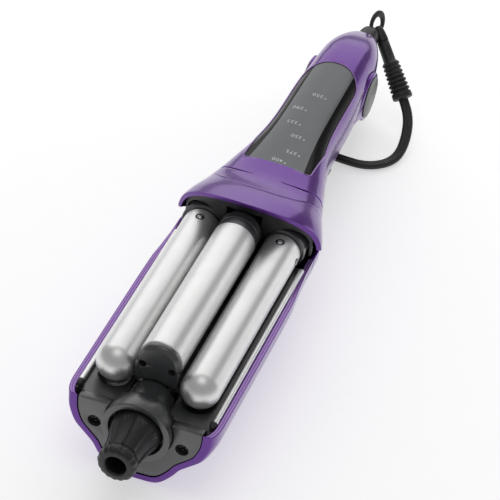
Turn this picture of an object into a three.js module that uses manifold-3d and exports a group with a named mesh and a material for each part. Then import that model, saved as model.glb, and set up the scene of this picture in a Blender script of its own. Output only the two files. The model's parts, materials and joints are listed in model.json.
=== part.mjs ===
// A three-barrel deep waver: a heated hair tool whose two outer barrels close over a centre barrel.
// Millimetres, +Z up. The barrels run along Y with their tips towards -Y, and the handle is towards +Y.
// Local frame of every sub-part: Y = 0 at the rear ends of the barrels, Z = 0 at the rim of the tray.

import * as THREE from 'three';
import { mergeVertices } from 'three/addons/utils/BufferGeometryUtils.js';
import Module from 'manifold-3d';

const wasm = await Module();
wasm.setup();

// ---------------------------------------------------------------- driving dimensions
const barrelRootY = -36.5;      // the barrels' rear ends, from the middle of the object's length
const rimZ = 44.5;            // the tray's rim above the table
const gap = 0.3;              // between touching pieces

const outerR = 11;            // outer barrels
const outerX = 24.1;
const outerZ = 10.6;
const outerDomeY = -126.8;    // centre of the round tip
const centreR = 12.4;         // height-adjustable centre barrel
const centreZ = 19.6;
const centreFrontY = -125.7;
const centreRearY = -14;
const outerRearY = 2;
const collarR = 12.9;         // dark rings behind the outer barrels
const tubeWall = 1.2;
const slideTravel = 8;        // the centre barrel's drop from its highest setting

const trayW = 43;             // half width over the rails
const trayDepth = 44.5;
const trayTop = 2;
const trayFrontY = -151.5;
const trayRearY = 12;
const trayRearW = 40.9;
const shellWall = 2.4;

const plateW = 35.2;          // half width of the dark end plate
const plateTop = 1.1;
const dialZ = -7;             // axis of the setting dial
const ringR = 19.2;
const ringBore = 14.9;
const ringFrontY = -156.2;
const dialFrontY = -184;

const hingeY = 181.5;         // axis of the clamp, along X
const hingeZ = 0;
const earR = 15.6;
const earInnerX = 17.2;
const earOuterX = 20.2;
const capOuterX = 21.2;
const partingZ = 2.8;         // underside of the upper jaw along the handle
const handleEndY = 236;

const swivelY = 236;          // cord swivel at the rear of the handle
const swivelX = 0.8;
const swivelZ = 5;
const swivelR = 6.7;
const reliefEnd = [33.3, 220.9, -22];

const purple = 0x6b3596;
const darkGrey = 0x3f4144;
const black = 0x17181a;
const silver = 0xc9cacb;
const steel = 0xb4b6b8;
const panelGrey = 0x75787a;
const capGrey = 0xa9aca8;

// ---------------------------------------------------------------- small helpers
function solid(geometry) {
  const plain = geometry.index ? geometry.toNonIndexed() : geometry.clone();
  plain.deleteAttribute('normal');
  plain.deleteAttribute('uv');
  const merged = mergeVertices(plain, 1e-4);
  return new wasm.Manifold(new wasm.Mesh({
    numProp: 3,
    vertProperties: new Float32Array(merged.attributes.position.array),
    triVerts: new Uint32Array(merged.index.array),
  }));
}

function geometryOf(manifold) {
  const mesh = manifold.getMesh();
  const geometry = new THREE.BufferGeometry();
  geometry.setAttribute('position', new THREE.BufferAttribute(new Float32Array(mesh.vertProperties), 3));
  geometry.setIndex(new THREE.BufferAttribute(new Uint32Array(mesh.triVerts), 1));
  return geometry;
}

function piece(name, shape, colour, roughness, metalness) {
  const geometry = shape.isBufferGeometry ? shape : geometryOf(shape);
  const material = new THREE.MeshStandardMaterial({ color: colour, roughness, metalness });
  const mesh = new THREE.Mesh(geometry, material);
  mesh.name = name;
  return mesh;
}

function box(x0, x1, y0, y1, z0, z1) {
  const geometry = new THREE.BoxGeometry(x1 - x0, y1 - y0, z1 - z0);
  return geometry.translate((x0 + x1) / 2, (y0 + y1) / 2, (z0 + z1) / 2);
}

// a solid of revolution about a line along Y through (x, z); profile is [radius, y] from front to rear
function turned(profile, x, z, segments = 24) {
  const points = profile.map(([r, y]) => new THREE.Vector2(r, y));
  return new THREE.LatheGeometry(points, segments).translate(x, 0, z);
}

function rod(radius, y0, y1, x, z, segments = 24) {
  return turned([[0, y0], [radius, y0], [radius, y1], [0, y1]], x, z, segments);
}

function tubeRing(inner, outer, y0, y1, x, z, segments = 24) {
  return turned([[inner, y0], [outer, y0], [outer, y1], [inner, y1], [inner, y0]], x, z, segments);
}

// a cylinder along X, centred on (y, z)
function crossRod(radius, x0, x1, y, z, segments = 28) {
  const geometry = new THREE.CylinderGeometry(radius, radius, x1 - x0, segments);
  return geometry.rotateZ(Math.PI / 2).translate((x0 + x1) / 2, y, z);
}

// joins closed outlines (arrays of [x, z], all the same length) at the heights ys along Y
function loft(outlines, ys) {
  const count = outlines[0].length;
  const positions = [];
  const index = [];
  outlines.forEach((outline, i) => outline.forEach(([x, z]) => positions.push(x, ys[i], z)));
  for (let i = 0; i + 1 < outlines.length; i += 1) {
    for (let j = 0; j < count; j += 1) {
      const a = i * count + j;
      const b = i * count + (j + 1) % count;
      index.push(a, a + count, b, b, a + count, b + count);
    }
  }
  for (const end of [0, outlines.length - 1]) {
    const outline = outlines[end].map(([x, z]) => new THREE.Vector2(x, z));
    for (const [a, b, c] of THREE.ShapeUtils.triangulateShape(outline, [])) {
      const base = end * count;
      if (end === 0) index.push(base + a, base + b, base + c);
      else index.push(base + a, base + c, base + b);
    }
  }
  const geometry = new THREE.BufferGeometry();
  geometry.setAttribute('position', new THREE.Float32BufferAttribute(positions, 3));
  geometry.setIndex(index);
  return geometry;
}

// a smooth value along Y through [y, value] pairs
function along(pairs) {
  const curve = new THREE.SplineCurve(pairs.map(([y, v]) => new THREE.Vector2(y, v)));
  const table = curve.getPoints(pairs.length * 12);
  return (y) => {
    const k = table.findIndex((p) => p.x >= y);
    if (k <= 0) return k === 0 ? table[0].y : table[table.length - 1].y;
    const [p, q] = [table[k - 1], table[k]];
    return p.y + (q.y - p.y) * (y - p.x) / (q.x - p.x || 1);
  };
}

// ---------------------------------------------------------------- the body's driving curves
const bodyWidth = along([[-4, 43.6], [14, 44], [34, 38], [50, 32.8], [64, 29], [78, 25.5], [93, 22.7],
  [112, 21.2], [145, 20.8], [165, 19.7], [185, 18.7], [198, 17.8], [211, 15.2], [223, 11], [231, 6.8], [236, 3]]);
const bodyTop = along([[-4, 39], [14, 35], [34, 29.8], [52, 28.2], [80, 27.8], [165, 27.5], [188, 26.5],
  [200, 24.6], [211, 21.4], [223, 16.4], [231, 11.6], [236, 8]]);
const rearBottom = along([[188, -9.5], [200, -9.5], [211, -7.4], [223, -4.4], [231, -1.4], [236, 1]]);
const armDepth = along([[12, 43.5], [30, 36], [55, 24.5], [80, 17.6], [110, 15], [170, 13.8]]);

const arcSteps = 18;

// the upper jaw's outline at y, counter-clockwise seen from the front, closed by a flat underside at floorZ
function upperOutline(y, floorZ, wall = 0) {
  const w = bodyWidth(y) - wall;
  const top = bodyTop(y) - wall;
  const power = THREE.MathUtils.lerp(2.2, 3, THREE.MathUtils.clamp((y + 4) / 64, 0, 1));
  const points = [];
  for (let k = 0; k <= arcSteps; k += 1) {
    const angle = Math.PI * k / arcSteps;
    const c = Math.cos(angle);
    const s = Math.sin(angle);
    const x = w * Math.sign(c) * Math.abs(c) ** (2 / power);
    points.push([x, floorZ + (top - floorZ) * s ** (2 / power)]);
  }
  return points;
}

// the rear of the handle below the parting line, behind the hinge
function rearOutline(y, wall = 0) {
  const w = bodyWidth(y) - wall;
  const bottom = rearBottom(y) + wall;
  const points = [];
  for (let k = 0; k <= arcSteps; k += 1) {
    const angle = Math.PI + Math.PI * k / arcSteps;
    const c = Math.cos(angle);
    const s = -Math.sin(angle);
    const x = w * Math.sign(c) * Math.abs(c) ** 0.8;
    points.push([x, partingZ - (partingZ - bottom) * Math.max(s, 0) ** 0.8]);
  }
  return points;
}

// the tray's section: rails, slanting flanks and a round keel, as parts of its half width and depth
const bowShape = [[1, 0], [0.99, 0.18], [0.955, 0.3], [0.885, 0.43], [0.76, 0.54], [0.62, 0.66], [0.525, 0.79],
  [0.4, 0.92], [0.27, 0.98], [0, 1]];
const armShape = bowShape.map((unused, k) => {
  const angle = Math.PI / 2 * k / (bowShape.length - 1);
  return [Math.cos(angle) ** 0.7, Math.sin(angle) ** 0.7];
});

function lowerOutline(halfWidth, top, depth, blend) {
  const half = bowShape.map(([x, z], k) => [
    halfWidth * THREE.MathUtils.lerp(x, armShape[k][0], blend),
    top - depth * THREE.MathUtils.lerp(z, armShape[k][1], blend),
  ]);
  const left = half.slice(0, -1).map(([x, z]) => [-x, z]);
  return [...left, ...half.reverse()];
}

// ---------------------------------------------------------------- lower jaw
function trayShell() {
  const ys = [trayFrontY, -149.5, -145, -138, -38, -17, -2, trayRearY];
  const halfWidth = [39.2, 41.6, 42.6, trayW, trayW, 42, 41, trayRearW];
  const taper = [6.4, 3.2, 1, 0, 0, 0, 0, 0];
  const outer = ys.map((y, i) => lowerOutline(halfWidth[i], trayTop, trayDepth + trayTop - 0.15 * taper[i], 0));
  const inner = taper.map((less) => {
    const outline = lowerOutline(trayW - 3.3 - 0.65 * less, trayTop, trayDepth + trayTop - 2.5 - 0.3 * less, 0);
    return outline.map(([x, z]) => [x, z === trayTop ? z + 4 : z]);
  });
  const cavityYs = [trayFrontY - 1, ...ys.slice(1, -1), trayRearY + 1];
  return piece('tray_shell', solid(loft(outer, ys)).subtract(solid(loft(inner, cavityYs))), purple, 0.25, 0);
}

function armShell() {
  const ys = [trayRearY + gap, 22, 34, 46, 58, 70, 82, 96, 112, 140, 168];
  const blend = (y) => THREE.MathUtils.smoothstep(y, 12, 85);
  const top = 1.8;
  const width = (y) => Math.min(bodyWidth(y) - 0.6, trayRearW);
  const outer = ys.map((y) => lowerOutline(width(y), top, armDepth(y) + top, blend(y)));
  const inner = ys.map((y) => lowerOutline(width(y) - shellWall, top + 3, armDepth(y) + top + 3 - shellWall, blend(y)));
  const cavityYs = [...ys];
  cavityYs[0] -= 1;
  cavityYs[cavityYs.length - 1] = 164;
  let shell = solid(loft(outer, ys)).subtract(solid(loft(inner, cavityYs)));
  for (const side of [-1, 1]) {
    const [x0, x1] = side > 0 ? [earInnerX, earOuterX] : [-earOuterX, -earInnerX];
    const [w0, w1] = side > 0 ? [earInnerX, 19] : [-19, -earInnerX];
    const web = box(w0, w1, 150, hingeY, -11.5, 1.7);
    shell = shell.add(solid(crossRod(earR, x0, x1, hingeY, hingeZ))).add(solid(web));
    shell = shell.subtract(solid(crossRod(3.3, x0 - 2, x1 + 2, hingeY, hingeZ, 16)));
  }
  const knuckleRoom = crossRod(11.6, -earInnerX, earInnerX, hingeY, hingeZ);
  return piece('lower_arm_shell', shell.subtract(solid(knuckleRoom)), purple, 0.25, 0);
}

function armCover() {
  const ys = [30, 46, 58, 70, 82, 96, 112, 140, 161];
  const half = (y) => Math.min(bodyWidth(y) - 0.6, trayRearW) - shellWall - 1.2;
  const shape = new THREE.Shape();
  ys.forEach((y, i) => (i ? shape.lineTo(half(y), y) : shape.moveTo(half(y), y)));
  [...ys].reverse().forEach((y) => shape.lineTo(-half(y), y));
  const plate = new THREE.ExtrudeGeometry(shape, { depth: 1.8, bevelEnabled: false }).translate(0, 0, -0.9);
  return piece('lower_arm_cover', plate, black, 0.5, 0);
}

function capsule(radius, x, z, y1, domeY) {
  const profile = [];
  for (let k = 0; k <= 6; k += 1) {
    const angle = Math.PI / 2 * k / 6;
    profile.push([radius * Math.sin(angle), domeY - radius * Math.cos(angle)]);
  }
  profile[0][0] = 0;
  return turned([...profile, [radius, y1], [0, y1]], x, z);
}

function troughInsert() {
  const outline = lowerOutline(trayW - 4.6, trayTop + 4, trayDepth + trayTop - 1, 0);
  let insert = solid(loft([outline, outline], [-145.2, 3])).intersect(solid(box(-50, 50, -150, 10, -9, 0.5)));
  for (const side of [-1, 1]) {
    insert = insert.subtract(solid(capsule(outerR + 2.5, side * outerX, outerZ, 4, outerDomeY)));
  }
  insert = insert.subtract(solid(rod(centreR + 2, -150, 4, 0, centreZ - slideTravel)));
  insert = insert.subtract(solid(box(-20, 20, -150, -125.5, -12, 4)));
  return piece('trough_insert', insert, darkGrey, 0.45, 0);
}

function sideStrip(side) {
  const name = side > 0 ? 'side_strip_right' : 'side_strip_left';
  const strip = rod(1.6, -140.6, -1, side * 37.8, 2.4, 12);
  return piece(name, strip, silver, 0.2, 0.9);
}

function stripEnd(side) {
  const name = side > 0 ? 'strip_end_right' : 'strip_end_left';
  const end = turned([[0, -145], [1, -144.4], [1.5, -142.8], [1.7, -140.9], [0, -140.9]], side * 37.4, 2.6, 12);
  return piece(name, end, black, 0.5, 0);
}

const plateY = -151.2;
const screwX = 24.9;
const screwZ = -13;

function endPlate() {
  const outline = lowerOutline(plateW - gap, plateTop, 40.6, 0);
  let plate = solid(loft([outline, outline], [plateY, plateY + 5.5]));
  plate = plate.subtract(solid(rod(ringR + 0.3, -160, -140, 0, dialZ)));
  for (const side of [-1, 1]) {
    plate = plate.subtract(solid(rod(3.7, -160, -148, side * screwX, screwZ, 16)));
    plate = plate.subtract(solid(rod(2.1, -160, -140, side * screwX, screwZ, 12)));
  }
  return piece('end_plate', plate, darkGrey, 0.45, 0);
}

function plateScrew(side) {
  const name = side > 0 ? 'plate_screw_right' : 'plate_screw_left';
  const profile = [[0, -149.2], [1.2, -149.2], [3.3, -149.6], [3.3, -148.3], [1.7, -148.3], [1.7, -136.5], [0, -136.5]];
  return piece(name, turned(profile, side * screwX, screwZ, 12), black, 0.4, 0.8);
}

function dialHousing() {
  const stations = [[ringFrontY, ringR, dialZ], [-150, 19, -6.6], [-143.5, 17.4, -5], [-137, 14, -2.6],
    [-131.8, 10.6, -1]];
  const sides = 24;
  const rings = stations.map(([, r, z]) => Array.from({ length: sides }, (unused, k) => {
    const angle = Math.PI * 2 * k / sides;
    return [r * Math.cos(angle), z + r * Math.sin(angle)];
  }));
  let housing = solid(loft(rings, stations.map(([y]) => y)));
  housing = housing.subtract(solid(rod(ringBore, -160, -145.6, 0, dialZ)));
  housing = housing.subtract(solid(box(-2, 2, -146, -130, -4.2, 8.2)));
  housing = housing.subtract(solid(rod(3, -160, -142, 0, dialZ, 16)));
  return piece('dial_housing', housing, darkGrey, 0.45, 0);
}

function dialAxle() {
  return piece('dial_axle', rod(2.5, -171, -142.5, 0, dialZ, 16), steel, 0.3, 1);
}

function rearGuide() {
  let block = solid(box(-12.2, 12.2, 5.4, 17, -6, 30.5));
  block = block.subtract(solid(box(-5, 5, 5, 14, 0, 40)));
  block = block.add(solid(box(-12.2, 12.2, 17, 24, -6, 1.2)));
  return piece('rear_guide', block, black, 0.5, 0);
}

function hingePin(side) {
  const name = side > 0 ? 'hinge_pin_right' : 'hinge_pin_left';
  const [x0, x1] = side > 0 ? [9, earOuterX] : [-earOuterX, -9];
  return piece(name, crossRod(3, x0, x1, hingeY, hingeZ, 16), steel, 0.3, 1);
}

function hingeCap(side) {
  const name = side > 0 ? 'hinge_cap_right' : 'hinge_cap_left';
  const [x0, x1] = side > 0 ? [earOuterX + gap, capOuterX] : [-capOuterX, -earOuterX - gap];
  return piece(name, crossRod(13.3, x0, x1, hingeY, hingeZ, 32), capGrey, 0.4, 0);
}

// ---------------------------------------------------------------- centre barrel, carried on the lower jaw
function centreTube() {
  const inner = centreR - tubeWall;
  return piece('centre_tube', tubeRing(inner, centreR, centreFrontY, centreRearY, 0, centreZ), silver, 0.35, 0.8);
}

function centreFrontCap() {
  const y0 = centreFrontY - gap;
  let cap = solid(rod(centreR - 0.3, -131, y0, 0, centreZ));
  cap = cap.add(solid(rod(centreR - tubeWall - gap, y0 - 1, -118, 0, centreZ)));
  cap = cap.subtract(solid(box(-20, 20, -140, y0, 0, 8)));
  for (const side of [-1, 1]) cap = cap.subtract(solid(rod(2.3, -140, -129.4, side * 8.2, 18.4, 12)));
  cap = cap.add(solid(box(-6.5, 6.5, -130.6, -126.4, 2, 9)));
  return piece('centre_front_cap', cap, darkGrey, 0.45, 0);
}

function capScrew(side) {
  const name = side > 0 ? 'cap_screw_right' : 'cap_screw_left';
  return piece(name, rod(1.9, -130.6, -129.7, side * 8.2, 18.4, 10), black, 0.4, 0.8);
}

function followerPin() {
  return piece('follower_pin', rod(1.4, -148.8, -130.9, 0, dialZ + 12.4, 12), steel, 0.3, 1);
}

function centreCollar() {
  const front = centreRearY + gap;
  const profile = [[0, front], [centreR, front], [centreR, -2.2], [9.4, -2.2], [9.4, 5], [0, 5]];
  const collar = solid(turned(profile, 0, centreZ));
  return piece('centre_rear_collar', collar, darkGrey, 0.45, 0);
}

function slideTongue() {
  return piece('slide_tongue', box(-4.6, 4.6, 5.3, 13.6, centreZ - 8.5, centreZ + 8.5), black, 0.5, 0);
}

function heater(name, x, z, y0, y1) {
  return piece(name, box(x - 6.5, x + 6.5, y0, y1, z - 2, z + 2), capGrey, 0.5, 0.6);
}

// ---------------------------------------------------------------- setting dial
const camY0 = -149.6;
const camY1 = -146.2;
const camSweep = Math.PI * 1.5;

function dialKnob() {
  const profile = [[5.6, -176.4], [9.2, -176.4], [10.4, -168], [12.9, -160], [14, -155], [14, -150], [3, -150],
    [3, -171.6], [5.6, -171.6], [5.6, -176.4]];
  let knob = solid(turned(profile, 0, dialZ, 24));
  const ribs = 8;
  for (let k = 0; k < ribs; k += 1) {
    const angle = Math.PI * 2 * k / ribs;
    const rib = box(-1, 1, -176.4, -157, 8.4, 11.2);
    rib.rotateY(angle).translate(0, 0, dialZ);
    knob = knob.add(solid(rib));
  }
  return piece('dial_knob', knob, black, 0.35, 0);
}

function dialGrip() {
  const profile = [[5.6, dialFrontY], [9.2, dialFrontY], [10.6, -182.4], [10.8, -179], [9.8, -176.7], [5.6, -176.7],
    [5.6, dialFrontY]];
  return piece('dial_grip', turned(profile, 0, dialZ, 28), black, 0.45, 0);
}

// the spiral slot moves the follower pin outwards by the slide's travel over the dial's turn
function scrollCam() {
  const innerRadius = 12.4 - slideTravel;
  const slot = new THREE.Shape();
  const steps = 30;
  const start = Math.PI / 2;
  const spiral = (t, offset) => {
    const angle = start - camSweep * (1 - t);
    const radius = innerRadius + slideTravel * t + offset;
    return [radius * Math.cos(angle), radius * Math.sin(angle)];
  };
  const first = -0.11;
  const last = 1.04;
  const points = [];
  for (let k = 0; k <= steps; k += 1) points.push(spiral(THREE.MathUtils.lerp(first, last, k / steps), 1.8));
  for (let k = steps; k >= 0; k -= 1) points.push(spiral(THREE.MathUtils.lerp(first, last, k / steps), -1.8));
  points.forEach(([x, y], k) => (k ? slot.lineTo(x, y) : slot.moveTo(x, y)));
  const cutter = new THREE.ExtrudeGeometry(slot, { depth: 10, bevelEnabled: false });
  cutter.rotateX(Math.PI / 2).translate(0, -143, dialZ);
  const disc = solid(tubeRing(2.8, 14.6, camY0, camY1, 0, dialZ, 32));
  return piece('scroll_cam', disc.subtract(solid(cutter)), capGrey, 0.4, 0.2);
}

function dialScrew() {
  const profile = [[0, -173.6], [3.6, -173.6], [3.6, -171.9], [0, -171.9]];
  return piece('dial_screw', turned(profile, 0, dialZ, 14), black, 0.4, 0.8);
}

// ---------------------------------------------------------------- upper jaw
const seamY = 24;

function lipCutter(behind) {
  const shape = new THREE.Shape();
  const steps = 16;
  for (let k = 0; k <= steps; k += 1) {
    const x = THREE.MathUtils.lerp(-50, 50, k / steps);
    const y = -3.5 + 19 * (x / 45) ** 2 + behind;
    if (k) shape.lineTo(x, y);
    else shape.moveTo(x, y);
  }
  shape.lineTo(50, -30);
  shape.lineTo(-50, -30);
  return new THREE.ExtrudeGeometry(shape, { depth: 80, bevelEnabled: false }).translate(0, 0, -20);
}

// the hood's side stands clear of the rails at its front corners
function cornerCutter() {
  const shape = new THREE.Shape();
  [[-10, 9], [11, 9], [seamY - 1, partingZ + 0.01], [seamY - 1, -10], [-10, -10]].forEach(([y, z], k) => {
    if (k) shape.lineTo(y, z);
    else shape.moveTo(y, z);
  });
  return new THREE.ExtrudeGeometry(shape, { depth: 120, bevelEnabled: false })
    .rotateX(Math.PI / 2).rotateZ(Math.PI / 2).translate(-60, 0, 0);
}

function upperShell(ys, wall) {
  const outer = solid(loft(ys.map((y) => upperOutline(y, partingZ)), ys));
  const innerYs = [...ys];
  innerYs[0] -= 3;
  const inner = solid(loft(ys.map((y) => upperOutline(y, partingZ - 3, wall)), innerYs));
  return outer.subtract(inner);
}

function headCover() {
  const ys = [-4, 4, 10, 16, seamY];
  const outer = solid(loft(ys.map((y) => upperOutline(y, partingZ)), ys));
  const innerYs = [-9, 4, 10, 16, seamY + 3];
  const inner = solid(loft(ys.map((y) => upperOutline(y, partingZ - 3, 2.6)), innerYs));
  let wall = solid(loft(ys.map((y) => upperOutline(y, partingZ, 1)), ys));
  wall = wall.subtract(solid(lipCutter(2.2))).intersect(solid(lipCutter(4.6)));
  wall = wall.subtract(solid(box(-10.6, 10.6, -10, 20, -10, 32.4)));
  wall = wall.subtract(solid(box(-outerX, outerX, -10, 20, -10, 12)));
  for (const side of [-1, 1]) {
    wall = wall.subtract(solid(rod(collarR + gap, -10, 30, side * outerX, outerZ)));
  }
  const cover = outer.subtract(inner).subtract(solid(lipCutter(0))).add(wall).subtract(solid(cornerCutter()));
  return piece('head_cover', cover, purple, 0.25, 0);
}

const panelY0 = 54;
const panelY1 = 168;

// plan of the control panel: square at the head end, round at the rear end
function panelPlan(margin, bezel) {
  const shape = new THREE.Shape();
  const half = (y) => Math.min(bodyWidth(y) * 0.86, 20.8) - margin;
  const roundY = panelY1 - 19;
  const ys = [panelY0 + bezel, 66, 80, 96, 115, 135, roundY];
  ys.forEach((y, i) => (i ? shape.lineTo(half(y), y) : shape.moveTo(half(y), y)));
  const end = half(roundY);
  const depth = panelY1 - bezel - roundY;
  for (let k = 1; k < 10; k += 1) {
    const angle = Math.PI * k / 10;
    shape.lineTo(end * Math.cos(angle), roundY + depth * Math.sin(angle));
  }
  [...ys].reverse().forEach((y) => shape.lineTo(-half(y), y));
  return new THREE.ExtrudeGeometry(shape, { depth: 60, bevelEnabled: false });
}

function skin(ys, under, over) {
  const outer = solid(loft(ys.map((y) => upperOutline(y, partingZ, under)), ys));
  const innerYs = [...ys];
  innerYs[0] -= 1;
  innerYs[innerYs.length - 1] += 1;
  return outer.subtract(solid(loft(ys.map((y) => upperOutline(y, partingZ - 4, over)), innerYs)));
}

const topStations = [seamY + gap, 34, 46, 58, 70, 84, 100, 125, 150, 170, 190, 203, 214, 224, 232, handleEndY];

function handleTop() {
  let shell = upperShell(topStations, shellWall);
  shell = shell.subtract(solid(panelPlan(0, 0)));
  for (const side of [-1, 1]) {
    const [x0, x1] = side > 0 ? [earInnerX - 0.4, 30] : [-30, -earInnerX + 0.4];
    shell = shell.subtract(solid(crossRod(earR + 0.6, x0, x1, hingeY, hingeZ)));
  }
  shell = shell.subtract(solid(rod(swivelR + 0.4, swivelY - 10, 260, swivelX, swivelZ)));
  shell = shell.subtract(solid(crossRod(3.5, -30, 30, hingeY, hingeZ, 16)));
  return piece('handle_top_shell', shell, purple, 0.25, 0);
}

function panelBezel() {
  const ys = [50, 66, 84, 100, 125, 150, 172];
  const band = skin(ys, 0.2, 1.9).intersect(solid(panelPlan(gap, gap)));
  return piece('panel_bezel', band.subtract(solid(panelPlan(3, 2))), black, 0.15, 0);
}

function controlPanel() {
  const ys = [50, 66, 84, 100, 125, 150, 172];
  return piece('control_panel', skin(ys, 0.2, 1.9).intersect(solid(panelPlan(3 + gap, 2 + gap))), panelGrey, 0.5, 0);
}

function handleBottom() {
  const floorYs = [40, 58, 70, 84, 100, 125, 150, 187];
  const inside = (y) => bodyWidth(y) - shellWall - 0.4;
  const shape = new THREE.Shape();
  floorYs.forEach((y, i) => (i ? shape.lineTo(inside(y), y) : shape.moveTo(inside(y), y)));
  [...floorYs].reverse().forEach((y) => shape.lineTo(-inside(y), y));
  const floor = new THREE.ExtrudeGeometry(shape, { depth: 2, bevelEnabled: false }).translate(0, 0, 2.9);
  const knuckle = crossRod(11, -15.4, 15.4, hingeY, hingeZ);
  const pinBore = crossRod(3.4, -20, 20, hingeY, hingeZ, 16);
  const springRoom = crossRod(8.2, -7, 7, hingeY, hingeZ, 20);
  const body = solid(floor).add(solid(knuckle));
  const springGate = box(-7, 7, hingeY, hingeY + 13, -5.5, 5.5);
  return piece('handle_bottom_shell', body.subtract(solid(pinBore)).subtract(solid(springRoom))
    .subtract(solid(springGate)), purple, 0.3, 0);
}

function rearCap() {
  const ys = [193.2, 203, 213, 224, 232, handleEndY];
  const outer = solid(loft(ys.map((y) => rearOutline(y)), ys));
  const hollowYs = [195.4, 203, 213, 220, 226];
  const inner = solid(loft(hollowYs.map((y) => {
    const outline = rearOutline(y, shellWall);
    return outline.map(([x, z]) => [x, z >= partingZ - 0.01 ? z + 3 : z]);
  }), hollowYs));
  let cap = outer.subtract(inner);
  cap = cap.subtract(solid(rod(swivelR + 0.4, swivelY - 10, 260, swivelX, swivelZ)));
  for (const side of [-1, 1]) {
    const [x0, x1] = side > 0 ? [earInnerX - 0.4, 30] : [-30, -earInnerX + 0.4];
    cap = cap.subtract(solid(crossRod(earR + 0.6, x0, x1, hingeY, hingeZ)));
  }
  return piece('rear_lower_cover', cap.translate([0, 0, -gap]), capGrey, 0.4, 0);
}

function hingeSpring() {
  const turns = 3.5;
  const points = [];
  for (let k = 0; k <= 28; k += 1) {
    const angle = Math.PI * 2 * turns * k / 28;
    points.push(new THREE.Vector3(-5 + 10 * k / 28, hingeY + 6 * Math.cos(angle), hingeZ + 6 * Math.sin(angle)));
  }
  const wire = new THREE.Shape();
  wire.absarc(0, 0, 0.8, 0, Math.PI * 2);
  const path = new THREE.CatmullRomCurve3(points);
  const geometry = new THREE.ExtrudeGeometry(wire, { steps: 40, curveSegments: 2, extrudePath: path });
  return piece('hinge_spring', geometry, steel, 0.3, 1);
}

function outerTube(side) {
  const name = side > 0 ? 'outer_tube_right' : 'outer_tube_left';
  const inner = outerR - tubeWall;
  const dome = (radius, steps) => Array.from({ length: steps + 1 }, (unused, k) => {
    const angle = Math.PI / 2 * k / steps;
    return [k ? radius * Math.sin(angle) : 0, outerDomeY - radius * Math.cos(angle)];
  });
  const profile = [...dome(outerR, 5), [outerR, outerRearY], [inner, outerRearY], ...dome(inner, 2).reverse()];
  return piece(name, turned(profile, side * outerX, outerZ), silver, 0.35, 0.8);
}

function outerCollar(side) {
  const name = side > 0 ? 'outer_collar_right' : 'outer_collar_left';
  const front = outerRearY + gap;
  const profile = [[0, front], [collarR, front], [collarR, 13.8], [0, 13.8]];
  const slideRoom = solid(box(-centreR - 0.4, centreR + 0.4, 0, 20, -10, 50));
  return piece(name, solid(turned(profile, side * outerX, outerZ)).subtract(slideRoom), darkGrey, 0.45, 0);
}

function barrelTopScrew(side) {
  const name = side > 0 ? 'barrel_top_screw_right' : 'barrel_top_screw_left';
  const head = new THREE.CylinderGeometry(2.3, 2.3, 0.9, 12).rotateX(Math.PI / 2);
  return piece(name, head.translate(side * outerX, -5.2, outerZ + outerR + gap + 0.45), steel, 0.3, 1);
}

function barrelSideScrew(side) {
  const name = side > 0 ? 'barrel_side_screw_right' : 'barrel_side_screw_left';
  const x = side * (outerX + outerR + gap + 0.45);
  return piece(name, crossRod(1.9, x - 0.45, x + 0.45, -5.2, outerZ, 12), steel, 0.3, 1);
}

function barrelMount(side) {
  const name = side > 0 ? 'barrel_mount_right' : 'barrel_mount_left';
  const x = side * outerX;
  const mount = solid(rod(10, 14.1, 21, x, outerZ, 20));
  return piece(name, mount.add(solid(box(x - 8, x + 8, 20, 23.6, 5, 19))), black, 0.5, 0);
}

function circuitBoard() {
  return piece('circuit_board', box(-14.5, 14.5, 62, 158, 11, 12.6), 0x2f5a3a, 0.5, 0);
}

function swivelBall() {
  const profile = [[0, -9], [swivelR, -9], [swivelR, 1.6], [6.2, 3.8], [5.1, 6], [3.1, 7.6], [0, 8.2]];
  const ball = turned(profile, swivelX, swivelZ, 20).translate(0, swivelY, 0);
  return piece('swivel_ball', ball, black, 0.45, 0);
}

const loopLean = 0.8;
const loopTurn = Math.PI / 6;
const loopCentre = [2.2, 249.5, 8];

// a flat eye on the swivel, leaning back, so that the tool hangs on a hook
function hangingLoop() {
  const outline = new THREE.Shape();
  outline.absellipse(0, 0, 6.2, 8.8, 0, Math.PI * 2);
  const hole = new THREE.Path();
  hole.absellipse(0, -0.9, 4.3, 5.3, 0, Math.PI * 2, true);
  outline.holes.push(hole);
  const eye = new THREE.ExtrudeGeometry(outline, { depth: 2.6, bevelEnabled: false, curveSegments: 10 });
  eye.translate(0, 0, -1.3).rotateX(Math.PI / 2).rotateZ(Math.PI / 2 - loopTurn);
  eye.rotateX(-loopLean).translate(...loopCentre);
  const profile = [[0, -5], [swivelR + gap, -5], [swivelR + gap, 1.8], [6.5, 4], [5.4, 6.3], [3.3, 8], [0, 8.6]];
  const seat = turned(profile, swivelX, swivelZ, 20).translate(0, swivelY, 0);
  return piece('hanging_loop', solid(eye).subtract(solid(seat)), black, 0.45, 0);
}

// ---------------------------------------------------------------- mains cord
const reliefStart = [5.2, 244.7, 6.3];

function reliefAxis() {
  const start = new THREE.Vector3(...reliefStart);
  return new THREE.Vector3(...reliefEnd).sub(start);
}

function strainRelief() {
  const axis = reliefAxis();
  const length = axis.length();
  const profile = [[0, 7.6], [3.9, 7.6], [4, 21], [5.6, 23.5], [6.5, length - 4], [6.6, length], [0, length]];
  const relief = turned(profile, 0, 0, 16);
  const turn = new THREE.Quaternion().setFromUnitVectors(new THREE.Vector3(0, 1, 0), axis.clone().normalize());
  relief.applyQuaternion(turn).translate(...reliefStart);
  return piece('strain_relief', relief, black, 0.55, 0);
}

const cordW = 6.5;
const cordThick = 3.8;
const layerStep = 3.9;
const hankLayers = 5;
const layerShift = 1.5;       // each layer lies a little to the right of the one below
const hankX = -16;
const hankFoldR = 3 * cordW;
const hankRun = 128;
const hankFrontY = 86;
const hankBottom = -rimZ + 1.4;
const hankTop = hankBottom + (hankLayers - 1) * layerStep + cordThick;
const hankHalfW = hankFoldR + cordW / 2;
const hankLean = layerShift / layerStep;

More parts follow.
